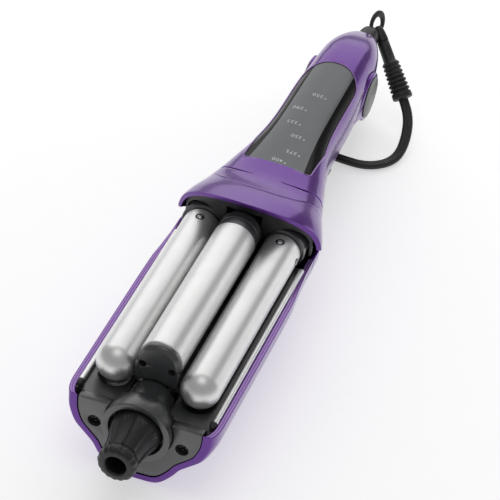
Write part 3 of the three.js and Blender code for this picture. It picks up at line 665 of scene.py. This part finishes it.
def panel_patch(name, left, right, material, *nodes):
    """A strip of the panel between two edges, each a function of y, 1.4 mm thick."""
    margin = 0.25
    span = PANEL_ROUND - margin
    start = PANEL_Y1 - PANEL_ROUND
    ys = [PANEL_Y0 + margin + PANEL_CORNER * (1 - math.cos(math.pi / 2 * k / 8)) for k in range(8)]
    ys += list(np.linspace(PANEL_Y0 + PANEL_CORNER + 0.5, start, 56))
    ys += [start + span * math.sin(math.pi / 2 * k / 24) for k in range(1, 24)]
    ys = [y for y in ys if right(y) - left(y) > 0.05]
    columns = np.linspace(0, 1, 25)
    upper = [[(lerp(left(y), right(y), c), y, top_z(lerp(left(y), right(y), c), y, 0.3)) for c in columns]
             for y in ys]
    lower = [[(x, y, z - 1.4) for x, y, z in line] for line in upper]
    dress(thin_shell(name, upper, lower), material, "upper_jaw", *nodes, sharp=50)


def add_panel():
    def edge(y):
        return panel_half(y, 0.25)

    def grey(y):
        return min(grey_half(y), edge(y))

    panel_patch("panel_face", lambda y: -grey(y), grey, PANEL, "control_panel")
    panel_patch("panel_side_right", grey, edge, GLOSS_BLACK, "panel_bezel")
    panel_patch("panel_side_left", lambda y: -edge(y), lambda y: -grey(y), GLOSS_BLACK)


def add_panel_highlight():
    """A painted highlight round the panel's opening: a pale purple line that stands for light caught by the
    opening's rounded edge.
    """
    outline = panel_outline(-0.1, -0.1)
    centre = [Vector((x, y, top_z(x, y) - 0.05)) for x, y in outline]
    rings = []
    for i, point in enumerate(centre):
        ahead = (centre[(i + 1) % len(centre)] - centre[i - 1]).normalized()
        across = ahead.cross(Vector((0, 0, 1))).normalized()
        up = across.cross(ahead)
        rings.append([tuple(point + across * (0.4 * c) + up * (0.32 * s)) for c, s in circle(10)])
    rings.append(rings[0])
    edge = welded(raw("panel_painted_highlight", *sweep_grid(rings, closed_ends=False)))
    dress(edge, PAINTED_HIGHLIGHT, "upper_jaw", sharp=60)


def lay_on_panel(name, mesh, x, y, material):
    """Lays a flat mesh of local u, v (millimetres) on the panel, turned to be read from the handle's end."""
    for vertex in mesh.vertices:
        u, v, thick = vertex.co
        px = x - u
        py = y - v
        vertex.co = place(px, py, top_z(px, py, 0.3) + 0.02 + max(thick, 0))
    thing = bpy.data.objects.new(name, mesh)
    bpy.context.scene.collection.objects.link(thing)
    shape = bmesh.new()
    shape.from_mesh(mesh)
    bmesh.ops.recalc_face_normals(shape, faces=shape.faces)
    shape.to_mesh(mesh)
    shape.free()
    dress(thing, material, "upper_jaw")


MARKS = {"250": (0, 130), "290": (-6.7, 113), "325": (-5.1, 97.6), "350": (1.9, 84.8), "375": (4.4, 68.7),
         "400": (-0.6, 58)}


def add_numbers():
    """The temperatures printed on the panel, each with a small light beside it."""
    for text, (x, y) in MARKS.items():
        curve = bpy.data.curves.new("number", "FONT")
        curve.body = text
        curve.size = 4.2
        curve.space_character = 1.12
        curve.align_x = "CENTER"
        curve.align_y = "CENTER"
        curve.extrude = 0.03
        curve.offset = 0.02
        letters = bpy.data.objects.new("number", curve)
        bpy.context.scene.collection.objects.link(letters)
        graph = bpy.context.evaluated_depsgraph_get()
        mesh = bpy.data.meshes.new_from_object(letters.evaluated_get(graph))
        bpy.data.objects.remove(letters)
        lay_on_panel("mark_" + text, mesh, x, y, PRINT)
        disc = bpy.data.meshes.new("dot")
        shape = bmesh.new()
        bmesh.ops.create_cone(shape, cap_ends=True, segments=20, radius1=0.62, radius2=0.5, depth=0.24)
        shape.to_mesh(disc)
        shape.free()
        lay_on_panel("light_" + text, disc, x + 5, y - 1.2, PRINT)


# ---------------------------------------------------------------- upper jaw: rear end and swivel
RELIEF_START = Vector((5.2, 244.7, 6.3))
RELIEF_END = Vector((33.3, 220.9, -22))
LOOP_LEAN = 0.8
LOOP_TURN = math.pi / 6
LOOP_CENTRE = (2.2, 249.5, 8)


def rear_arc(y, wall):
    """An open section of the rear lower cover at y."""
    steps = 40
    line = []
    for k in range(steps + 1):
        angle = math.pi + math.pi * k / steps
        c = math.cos(angle)
        s = max(-math.sin(angle), 0)
        x = (body_width(y) - wall) * math.copysign(abs(c) ** 0.8, c)
        low = rear_bottom(y) + wall
        line.append((x, y, PARTING_Z - 0.3 - (PARTING_Z - low) * s ** 0.8))
    return line


def add_rear():
    ys = np.linspace(193.2, HANDLE_END_Y, 30)
    cover = thin_shell("rear_cover_skin", [rear_arc(y, 0) for y in ys], [rear_arc(y, 2.2) for y in ys])
    cut(cover, swivel_room(), *ear_rooms())
    dress(soften(cover, 0.3, 2, 50), PALE, "upper_jaw", "rear_lower_cover")

    profile = [(6.3, 226), (6.6, 231), (6.7, 236), (6.5, 237.8), (5.9, 240.2), (4.8, 242.2), (3.3, 243.5),
               (1.3, 244.1), (0.01, 244.2)]
    ball = turned("swivel_boss", profile, SWIVEL_X, SWIVEL_Z, 64)
    dress(ball, BLACK, "upper_jaw", "swivel_ball")


def relief_axes():
    """The strain relief's direction and two directions across it."""
    direction = (RELIEF_END - RELIEF_START).normalized()
    side = direction.cross(Vector((0, 0, 1))).normalized()
    return direction, side, side.cross(direction)


def add_socket():
    """The swivel's side stub, in line with the strain relief's neck."""
    profile = [(0.01, -3.2), (1.5, -3), (2.5, -2.2), (3.1, -0.6), (3.6, 2), (3.9, 5), (4, 7.3), (0.01, 7.3)]
    dress(turned_along("swivel_socket", profile, RELIEF_START, relief_axes(), 40), BLACK, "upper_jaw")


def add_loop():
    """The hanging eye: a rounded strap bent to an oval, leaning back and turned a little to the side."""
    turn_z = math.pi / 2 - LOOP_TURN
    turn_c, turn_s = math.cos(turn_z), math.sin(turn_z)
    lean_c, lean_s = math.cos(LOOP_LEAN), math.sin(LOOP_LEAN)
    centre_x, centre_y, centre_z = LOOP_CENTRE
    rings = []
    for c, s in circle(64):
        section = []
        for across, along_z in circle(16):
            out = (math.copysign(abs(across) ** 0.6, across) + 1) / 2
            thick = 1.3 * math.copysign(abs(along_z) ** 0.6, along_z)
            a = lerp(4.3, 6.2, out) * c
            b = lerp(5.3, 8.8, out) * s + lerp(-0.9, 0, out)
            x = a * turn_c + thick * turn_s
            y = a * turn_s - thick * turn_c
            section.append((centre_x + x, centre_y + y * lean_c + b * lean_s,
                            centre_z - y * lean_s + b * lean_c))
        rings.append(section)
    rings.append(rings[0])
    points, faces = sweep_grid(rings, closed_ends=False)
    loop = welded(raw("hanging_eye", points, faces))
    profile = [(SWIVEL_R + 0.25, 225), (SWIVEL_R + 0.25, 237.8), (6.4, 240.2), (5.2, 242.4), (3.2, 244.1),
               (0.01, 244.6)]
    seat = turned("seat", profile, SWIVEL_X, SWIVEL_Z)
    dress(cut(loop, seat), BLACK, "upper_jaw", "hanging_loop")


def add_relief():
    """The cord's strain relief: a smooth neck, ribs that grow towards the cord, and an end collar."""
    length = (RELIEF_END - RELIEF_START).length
    profile = [(0.01, 7.6), (3.5, 7.6), (3.9, 8), (4, 14), (4.1, 21)]
    ribs = 7
    first = 21.8
    pitch = (length - 4.6 - first) / ribs
    for k in range(ribs):
        start = first + pitch * k
        outer = lerp(5.8, 6.6, k / (ribs - 1))
        inner = lerp(4.9, 5.3, k / (ribs - 1))
        profile += [(inner, start), (outer - 0.3, start + pitch * 0.22), (outer, start + pitch * 0.4),
                    (outer - 0.2, start + pitch * 0.66), (inner, start + pitch * 0.82)]
    profile += [(5.4, length - 4.4), (6.4, length - 4), (6.6, length - 3.2), (6.6, length - 0.5),
                (6.1, length), (0.01, length)]
    relief = turned_along("strain_relief_ribbed", profile, RELIEF_START, relief_axes(), 48, 0.92)
    dress(relief, VINYL, "cord_swivel", "strain_relief", sharp=46)


# ---------------------------------------------------------------- barrels
BARREL_SCREW_Y = -5.2


def add_outer_barrel(side, word):
    x = side * OUTER_X
    steps = 22
    inner = OUTER_R - 1.2
    outside = [(OUTER_R * math.sin(math.pi / 2 * k / steps) if k else 0.01,
                OUTER_DOME_Y - OUTER_R * math.cos(math.pi / 2 * k / steps)) for k in range(steps + 1)]
    rear = TUBE_REAR_Y
    profile = outside + [(OUTER_R, rear - 0.5), (OUTER_R - 0.4, rear), (inner, rear), (inner, rear - 3),
                         (0.01, rear - 3)]
    tube = turned("outer_barrel_" + word, profile, x, OUTER_Z, 96)
    dress(tube, SILVER, "upper_jaw", "outer_tube_" + word)

    front = TUBE_REAR_Y + 0.35
    profile = [(0.01, front), (COLLAR_R - 0.5, front), (COLLAR_R, front + 0.5), (COLLAR_R, front + 3.2),
               (COLLAR_R - 0.6, front + 3.6), (COLLAR_R - 0.6, 13.8), (0.01, 13.8)]
    collar = turned("outer_collar_ring_" + word, profile, x, OUTER_Z, 96)
    room = block("slide_room", -CENTRE_R - 0.35, CENTRE_R + 0.35, -5, 20, -10, 50)
    dress(soften(cut(collar, room), 0.2, 2, 50), DARK, "upper_jaw", "outer_collar_" + word)


def screw_head(name, centre, normal, radius, material, body, *nodes):
    """A domed screw head with a cross recess, facing along normal."""
    direction = Vector(normal).normalized()
    side = direction.orthogonal().normalized()
    up = direction.cross(side)
    middle = Vector(centre)
    profile = [(radius, -0.5), (radius, 0.1), (radius * 0.86, 0.34), (radius * 0.5, 0.52), (0.01, 0.56)]
    head = turned_along(name, profile, middle, (direction, side, up), 32)
    for a, b in ((up, side), (side, up)):
        corners = [[tuple(middle + direction * depth + a * p * radius * 0.74 + b * q * radius * 0.2)
                    for p, q in ((-1, -1), (1, -1), (1, 1), (-1, 1))] for depth in (-0.8, 1.2)]
        cut(head, raw("recess", *sweep_grid(corners)))
    dress(head, material, body, *nodes)


def add_barrel_screws(side, word):
    """Two countersunk screws near the barrel's rear end, each in a black ring of painted shade that stands
    for its shaded recess.
    """
    x = side * OUTER_X
    ring = [(0.01, -0.6), (2.6, -0.6), (2.6, 0.25), (2.45, 0.4), (1.9, 0.4), (1.9, 0.15), (0.01, 0.15)]
    across = Vector((0, 1, 0))
    outs = (("top", Vector((0, 0, 1))), ("side", Vector((side, 0, 0))))
    axis_point = Vector((x, BARREL_SCREW_Y, OUTER_Z))
    for name, out in outs:
        base = axis_point + out * (OUTER_R - 0.25)
        # painted shade: a black ring round each screw stands for the shade in its countersunk recess
        seat = turned_along(f"{name}_screw_painted_shade_{word}", ring, base, (out, across, out.cross(across)), 32)
        dress(seat, BLACK, "upper_jaw")
    for name, out in outs:
        screw_head(f"{name}_screw_{word}", axis_point + out * (OUTER_R - 0.1), out, 1.7, STEEL, "upper_jaw",
                   f"barrel_{name}_screw_{word}")


def add_centre_barrel():
    inner = CENTRE_R - 1.2
    profile = [(inner, CENTRE_FRONT_Y), (CENTRE_R - 0.2, CENTRE_FRONT_Y), (CENTRE_R, CENTRE_FRONT_Y + 0.3),
               (CENTRE_R, CENTRE_FRONT_Y + 0.9), (CENTRE_R, CENTRE_REAR_Y - 0.8),
               (CENTRE_R, CENTRE_REAR_Y - 0.2), (CENTRE_R - 0.2, CENTRE_REAR_Y), (inner, CENTRE_REAR_Y),
               (inner, CENTRE_FRONT_Y)]
    tube = turned("centre_barrel_tube", profile, 0, CENTRE_Z, 96)
    dress(tube, SILVER, "centre_barrel", "centre_tube")
    big = CENTRE_R - 0.15
    front = CENTRE_REAR_Y + 0.3
    profile = [(0.01, front), (big - 0.3, front), (big, front + 0.4), (big, front + 5),
               (big - 0.5, front + 5.3), (big - 0.5, front + 5.8), (big, front + 6.1), (big, -2.8),
               (big - 0.6, -2.2), (9.4, -2.2), (9.4, 5), (0.01, 5)]
    collar = turned("centre_collar_ring", profile, 0, CENTRE_Z, 96)
    dress(collar, DARK, "centre_barrel", "centre_rear_collar")

    face = CENTRE_FRONT_Y - 5.3
    big = CENTRE_R - 0.1
    profile = [(0.01, face), (big - 1.9, face), (big - 1.7, face + 0.2), (big - 0.3, face + 1.7),
               (big, face + 2.4), (big, CENTRE_FRONT_Y - 0.2), (0.01, CENTRE_FRONT_Y - 0.2)]
    cap = turned("centre_cap_face", profile, 0, CENTRE_Z, 96)
    skirt = block("skirt", -big + 0.1, big - 0.1, face + 0.02, CENTRE_FRONT_Y - 0.3, CENTRE_Z - 11.6,
                  CENTRE_Z - 1)
    combine(cap, skirt, "UNION")
    cutters = [block("flat", -30, 30, face - 5, CENTRE_FRONT_Y + 5, -10, CENTRE_Z - 11.6)]
    cutters += [rod("hole", 2.2, face - 5, face + 3.2, side * 8.2, CENTRE_Z - 1.3, 32) for side in (-1, 1)]
    cut(cap, *cutters)
    tongue = block("tongue", -6.5, 6.5, face + 0.5, CENTRE_FRONT_Y - 0.7, 2, 9)
    combine(cap, tongue, "UNION")
    dress(soften(cap, 0.2, 2, 50), DARK, "centre_barrel", "centre_front_cap")
    for side, word in SIDES:
        screw_head("cap_screw_head_" + word, (side * 8.2, face + 2.6, CENTRE_Z - 1.3), (0, -1, 0), 1.9, BLACK,
                   "centre_barrel", "cap_screw_" + word)


# ---------------------------------------------------------------- lower jaw: tray, arm, troughs
def bow_line(y, half_width, top, depth, blend=0.0):
    """An open section of the lower body from the left rim round the keel to the right rim."""
    steps = len(BOW) - 1
    right = []
    for k, (bx, bz) in enumerate(BOW):
        angle = math.pi / 2 * k / steps
        ax = max(math.cos(angle), 0) ** 0.7
        az = math.sin(angle) ** 0.7
        right.append((half_width * lerp(bx, ax, blend), y, top - depth * lerp(bz, az, blend)))
    left = [(-x, y, z) for x, y, z in right[:-1]]
    return left + list(reversed(right))


PLATE_Y = -151.2
PLATE_W = 35.2
PLATE_SCREW_X = 24.9
PLATE_SCREW_Z = -13
TROUGH_UNDERSIDE = -5.2
NOSE_Y = -138
NOSE_REACH = 13.5
NOSE_INSET = 6.4


def nose_inset(y):
    """How far the tray's rounded front end is drawn in at y."""
    share = clamp((NOSE_Y - y) / NOSE_REACH)
    return NOSE_INSET * (1 - math.sqrt(max(0, 1 - share * share)))


def add_tray():
    shares = [math.sin(math.pi / 2 * k / 14) for k in range(14, -1, -1)]
    ys = [NOSE_Y - NOSE_REACH * s for s in shares] + list(np.linspace(-130, TRAY_REAR_Y, 20))
    outer = []
    inner = []
    height = TRAY_DEPTH + TRAY_TOP
    for y in ys:
        inset = nose_inset(y)
        outer.append(bow_line(y, tray_width(y) - 0.6 * inset, TRAY_TOP, height - 0.15 * inset))
        inner.append(bow_line(y, TRAY_W - 3.3 - 0.65 * inset, TRAY_TOP, height - 2.5 - 0.3 * inset))
    tray = thin_shell("tray_skin", outer, inner)
    soften(tray, 0.7, 3, 55)
    dress(tray, PURPLE, "lower_jaw", "tray_shell")


def add_rim_highlights():
    """Two painted highlights along the tray's rim: pale purple lines that stand for light caught by the rim's
    edges, with a dark joint between them.
    """
    ys = [PLATE_Y + 13 * (1 - math.cos(math.pi / 2 * k / 12)) for k in range(13)]
    ys += list(np.linspace(-136, 11.6, 24))
    for side, word in SIDES:
        for name, far, near in (("outer", 0.55, 1.5), ("inner", 1.95, 2.8)):
            sheets = []
            for z in (TRAY_TOP + 0.14, TRAY_TOP - 0.3):
                sheet = []
                for y in ys:
                    edge = tray_width(y) - 0.6 * nose_inset(y)
                    sheet.append([(side * lerp(edge - far, edge - near, share), y, z)
                                  for share in (0, 0.5, 1)])
                sheets.append(sheet)
            dress(thin_shell(f"rim_highlight_{name}_{word}", *sheets), PAINTED_HIGHLIGHT, "lower_jaw")


def add_arm():
    ys = list(np.linspace(TRAY_REAR_Y + 0.3, 100, 34)) + list(np.linspace(104, 168, 14))
    outer = []
    inner = []
    for y in ys:
        t = clamp((y - 12) / 73)
        blend = t * t * (3 - 2 * t)
        width = min(body_width(y) - 0.6, tray_width(12))
        outer.append(bow_line(y, width, 1.8, arm_depth(y) + 1.8, blend))
        inner.append(bow_line(y, width - SHELL_WALL, 1.8, arm_depth(y) + 1.8 - SHELL_WALL, blend))
    arm = thin_shell("arm_skin", outer, inner)
    soften(arm, 0.6, 3, 55)
    dress(arm, PURPLE, "lower_jaw", "lower_arm_shell")
    for side, word in SIDES:
        add_ear(side, word)


def add_ear(side, word):
    """The fork's ear: a disc round the hinge that runs forward into the arm's side."""
    outline = []
    for k in range(37):
        angle = math.radians(-148 + 258 * k / 36)
        outline.append((HINGE_Y + EAR_R * math.cos(angle), EAR_R * math.sin(angle)))
    outline += [(HINGE_Y - 14.5, 10.6), (HINGE_Y - 21, 5.2), (HINGE_Y - 27, 2.6), (150, 1.7), (150, -1),
                (158, -4)]
    rings = [[(x, y, z) for y, z in outline] for x in sorted((side * EAR_X0, side * EAR_X1))]
    ear = raw("ear_" + word, *sweep_grid(rings))
    dress(soften(ear, 0.8, 3, 40), PURPLE, "lower_jaw")
    profile = [(0.01, 0), (12.8, 0), (13.3, -0.3), (13.3, -0.7)]
    rings = [[(side * (EAR_X1 + 1 + h), HINGE_Y + r * c, r * s) for c, s in circle(72)] for r, h in profile]
    disc = raw("hinge_disc_" + word, *sweep_grid(rings))
    dress(disc, DISC, "lower_jaw", "hinge_cap_" + word)


def trough_z(x, y):
    """Height of the trough plate: flat, with a hollow under each barrel."""
    z = 0.5
    for cx, cz, radius, end in ((OUTER_X, OUTER_Z, OUTER_R + 2.5, OUTER_DOME_Y),
                                (-OUTER_X, OUTER_Z, OUTER_R + 2.5, OUTER_DOME_Y),
                                (0, CENTRE_Z - SLIDE_TRAVEL, CENTRE_R + 2, -170)):
        away = math.hypot(x - cx, min(0, y - end))
        if away < radius:
            z = min(z, cz - math.sqrt(radius ** 2 - away ** 2))
    return z


def add_troughs():
    half = 38.8
    xs = np.linspace(-half, half, 118)
    ys = list(np.linspace(-145.1, -118, 40)) + list(np.linspace(-114, 3, 30))
    upper = [[(x, y, trough_z(x, y)) for x in xs] for y in ys]
    lower = [[(x, y, TROUGH_UNDERSIDE) for x in xs] for y in ys]
    plate = thin_shell("trough_plate", upper, lower)
    reach = CENTRE_R + 0.4
    cut(plate, block("cap_room", -reach, reach, -150, CENTRE_FRONT_Y + 0.4, -12, 6))
    dress(plate, DARK, "lower_jaw", "trough_insert", sharp=28)


def add_strip(side, word):
    x = side * 37.8
    rings = [[(x + 1.7 * c, y, 2.3 + 1.7 * s) for c, s in circle(24)] for y in (-140.6, -1)]
    strip = raw("rail_strip_" + word, *sweep_grid(rings))
    dress(strip, STRIP, "lower_jaw", "side_strip_" + word)
    profile = [(0.01, -145), (1, -144.7), (1.5, -143.8), (1.75, -142.6), (1.75, -140.9), (0.01, -140.9)]
    end = turned("rail_end_" + word, profile, side * 37.4, 2.6, 32)
    dress(end, BLACK, "lower_jaw", "strip_end_" + word)


# ---------------------------------------------------------------- lower jaw: end plate and dial housing
def add_end_plate():
    def line(y, less):
        return bow_line(y, PLATE_W - 0.2 - less, 1.1, 40.6 - less)

    section = [line(PLATE_Y, 0), line(PLATE_Y + 5.6, 0)]
    plate = raw("end_plate_face", *sweep_grid(section))
    cut(plate, rod("bore", 19.5, -160, -140, 0, DIAL_Z, 96))
    for side in (-1, 1):
        cut(plate, rod("well", 3.7, -160, -147.6, side * PLATE_SCREW_X, PLATE_SCREW_Z, 40))
    dress(soften(plate, 0.35, 2, 50), DARK, "lower_jaw", "end_plate")
    for side, word in SIDES:
        centre = (side * PLATE_SCREW_X, -148.4, PLATE_SCREW_Z)
        # painted shade: the heads take the black material so that the wells read as dark holes
        screw_head("plate_screw_head_" + word, centre, (0, -1, 0), 3, BLACK, "lower_jaw",
                   "plate_screw_" + word)


def add_housing():
    """The bell behind the dial: a round collar that narrows up and back to the centre barrel's cap."""
    collar = [(-156.2, 19.2, -7), (-150, 19.1, -7), (-145, 18.6, -6.9), (-144.2, 17.8, -6.5),
              (-143.8, 15.4, -5)]
    saddle = catmull([(-143.2, 14.2, -4.4), (-140, 13.6, -3.8), (-136, 13, -3.2), (-131.8, 12.6, -2.9)], 4)
    rings = [[(radius * c, y, z + radius * s) for c, s in circle(96)] for y, radius, z in [*collar, *saddle]]
    bell = raw("dial_bell", *sweep_grid(rings))
    cut(bell, rod("bore", 15.4, -160, -149.4, 0, DIAL_Z, 96))
    cut(bell, block("pin_slot", -2, 2, -146, -129, -4.2, 8.2))
    dress(soften(bell, 0.7, 3, 50), DARK, "lower_jaw", "dial_housing")


def add_dial():
    segments = 128
    profile = [(0.01, -171.4), (6.2, -171.4), (6.2, -176.2), (9.4, -176.2), (9.6, -175), (10.4, -168),
               (12.6, -160), (14.1, -154.6), (14.3, -153), (14.3, -150), (0.01, -150)]
    rings = []
    for radius, y in profile:
        share = clamp((y + 176) / 20)
        ring = []
        for k in range(segments):
            angle = 2 * math.pi * k / segments
            ridge = max(0, math.cos(8 * angle)) ** 24
            scale = radius + (0.9 * ridge * (1 - share) + 0.35 * ridge if radius > 9 and y < -152 else 0)
            ring.append((scale * math.cos(angle), y, DIAL_Z + scale * math.sin(angle)))
        rings.append(ring)
    knob = raw("dial_cone", *sweep_grid(rings))
    dress(knob, BLACK, "dial", "dial_knob", sharp=40)

    profile = [(5.7, -176.5), (9.4, -176.5), (10.6, -177.6), (11, -179.2), (10.9, -181.8), (10, -183.4),
               (8.6, -184), (6.6, -184), (5.9, -183.4), (5.7, -182.6), (5.7, -176.5)]
    rings = []
    for radius, y in profile:
        ring = []
        for k in range(segments):
            angle = 2 * math.pi * k / segments
            scallop = 0.42 * (0.5 - 0.5 * math.cos(16 * angle)) if radius > 9.9 else 0
            reach = radius - scallop
            ring.append((reach * math.cos(angle), y, DIAL_Z + reach * math.sin(angle)))
        rings.append(ring)
    points, faces = sweep_grid(rings, closed_ends=False)
    grip = welded(raw("dial_rim", points, faces))
    dress(grip, BLACK, "dial", "dial_grip", sharp=40)
    screw_head("dial_screw_head", (0, -172.4, DIAL_Z), (0, -1, 0), 3.4, BLACK, "dial", "dial_screw")
    add_dial_marks()


def add_dial_marks():
    """Groups of short setting lines round the wide end of the dial."""
    for group in range(8):
        for line in range(3):
            angle = math.radians(45 * group + 22.5 + 5 * (line - 1))
            rings = []
            along_ring = Vector((-math.sin(angle), 0, math.cos(angle)))
            out = Vector((math.cos(angle), 0, math.sin(angle)))
            short = abs(line - 1)
            for y, radius in ((-161.6 + short, 12.35 - 0.28 * short), (-157.8, 13.35)):
                centre = Vector((0, y, DIAL_Z)) + out * radius
                rings.append([tuple(centre + along_ring * p * 0.17 + out * q) for p, q in
                              ((-1, -0.3), (1, -0.3), (1, 0.12), (-1, 0.12))])
            mark = raw(f"dial_mark_{group}_{line}", *sweep_grid(rings))
            dress(mark, FAINT, "dial")


# ---------------------------------------------------------------- CAD nodes that keep their shape
def keep(material, *nodes):
    """Gives CAD nodes that are shown as they are a material and smooth shading."""
    for node in nodes:
        thing = frame["nodes"][node]
        thing.data.materials.clear()
        thing.data.materials.append(material)
        settle(thing, 30)


add_head()
add_handle()
add_panel()
add_panel_highlight()
add_numbers()
add_rear()
add_socket()
add_loop()
add_relief()
for side, word in SIDES:
    add_outer_barrel(side, word)
    add_barrel_screws(side, word)
add_centre_barrel()
add_tray()
add_rim_highlights()
add_arm()
add_troughs()
for side, word in SIDES:
    add_strip(side, word)
add_end_plate()
add_housing()
add_dial()
keep(BLACK, "lower_arm_cover", "rear_guide", "slide_tongue", "barrel_mount_left", "barrel_mount_right")
keep(VINYL, "cord_tie", "plug_body")
keep(STEEL, "dial_axle", "hinge_pin_left", "hinge_pin_right", "follower_pin", "centre_heater",
     "outer_heater_left", "outer_heater_right", "hinge_spring", "plug_pin_left", "plug_pin_right")
keep(PALE, "scroll_cam")
keep(PURPLE, "handle_bottom_shell")
keep(BOARD, "circuit_board")


# ---------------------------------------------------------------- floor, light, world
FLOOR_GLOW = 0.5
FLOOR_HALF = 6
FLOOR_GAP = 0.0002
WORLD_GLOW = 0.3
WHITE = (1, 1, 1, 1)


def add_floor():
    mesh = bpy.data.meshes.new("floor")
    low = ORIGIN.z + TABLE_Z * MM - FLOOR_GAP
    corners = [(x * FLOOR_HALF, y * FLOOR_HALF, low) for x, y in ((-1, -1), (1, -1), (1, 1), (-1, 1))]
    mesh.from_pydata(corners, [], [(0, 1, 2, 3)])
    floor = bpy.data.objects.new("floor", mesh)
    material = finish("pale_floor", (0.86, 0.86, 0.87), (0.88, 0.88, 0.88), (0.6, 0.7), 0, 0, 200, 0.01)
    tune(material, {"Emission Color": WHITE, "Emission Strength": FLOOR_GLOW})
    mesh.materials.append(material)
    bpy.context.scene.collection.objects.link(floor)


def add_light(name, location, width, height, radiance):
    """A rectangular softbox turned to the object, of a given brightness when seen in a reflection."""
    data = bpy.data.lights.new(name, "AREA")
    data.shape = "RECTANGLE"
    data.size = width
    data.size_y = height
    data.energy = radiance * math.pi * width * height
    light = bpy.data.objects.new(name, data)
    light.location = location
    light.rotation_euler = (Vector((0, 0, 0.05)) - Vector(location)).to_track_quat("-Z", "Y").to_euler()
    bpy.context.scene.collection.objects.link(light)


def add_studio():
    world = bpy.data.worlds.new("studio")
    bpy.context.scene.world = world
    world.use_nodes = True
    background = world.node_tree.nodes["Background"]
    background.inputs["Color"].default_value = WHITE
    background.inputs["Strength"].default_value = WORLD_GLOW
    add_light("back_softbox", (-0.42, 1.2, 0.85), 2.0, 1.35, 1.05)
    add_light("side_softbox", (0.98, 1.0, 0.28), 0.45, 0.4, 1.3)
    add_light("overhead", (0, -0.2, 1.5), 0.9, 0.9, 0.9)
    bpy.context.scene.view_settings.view_transform = "Standard"


add_floor()
add_studio()
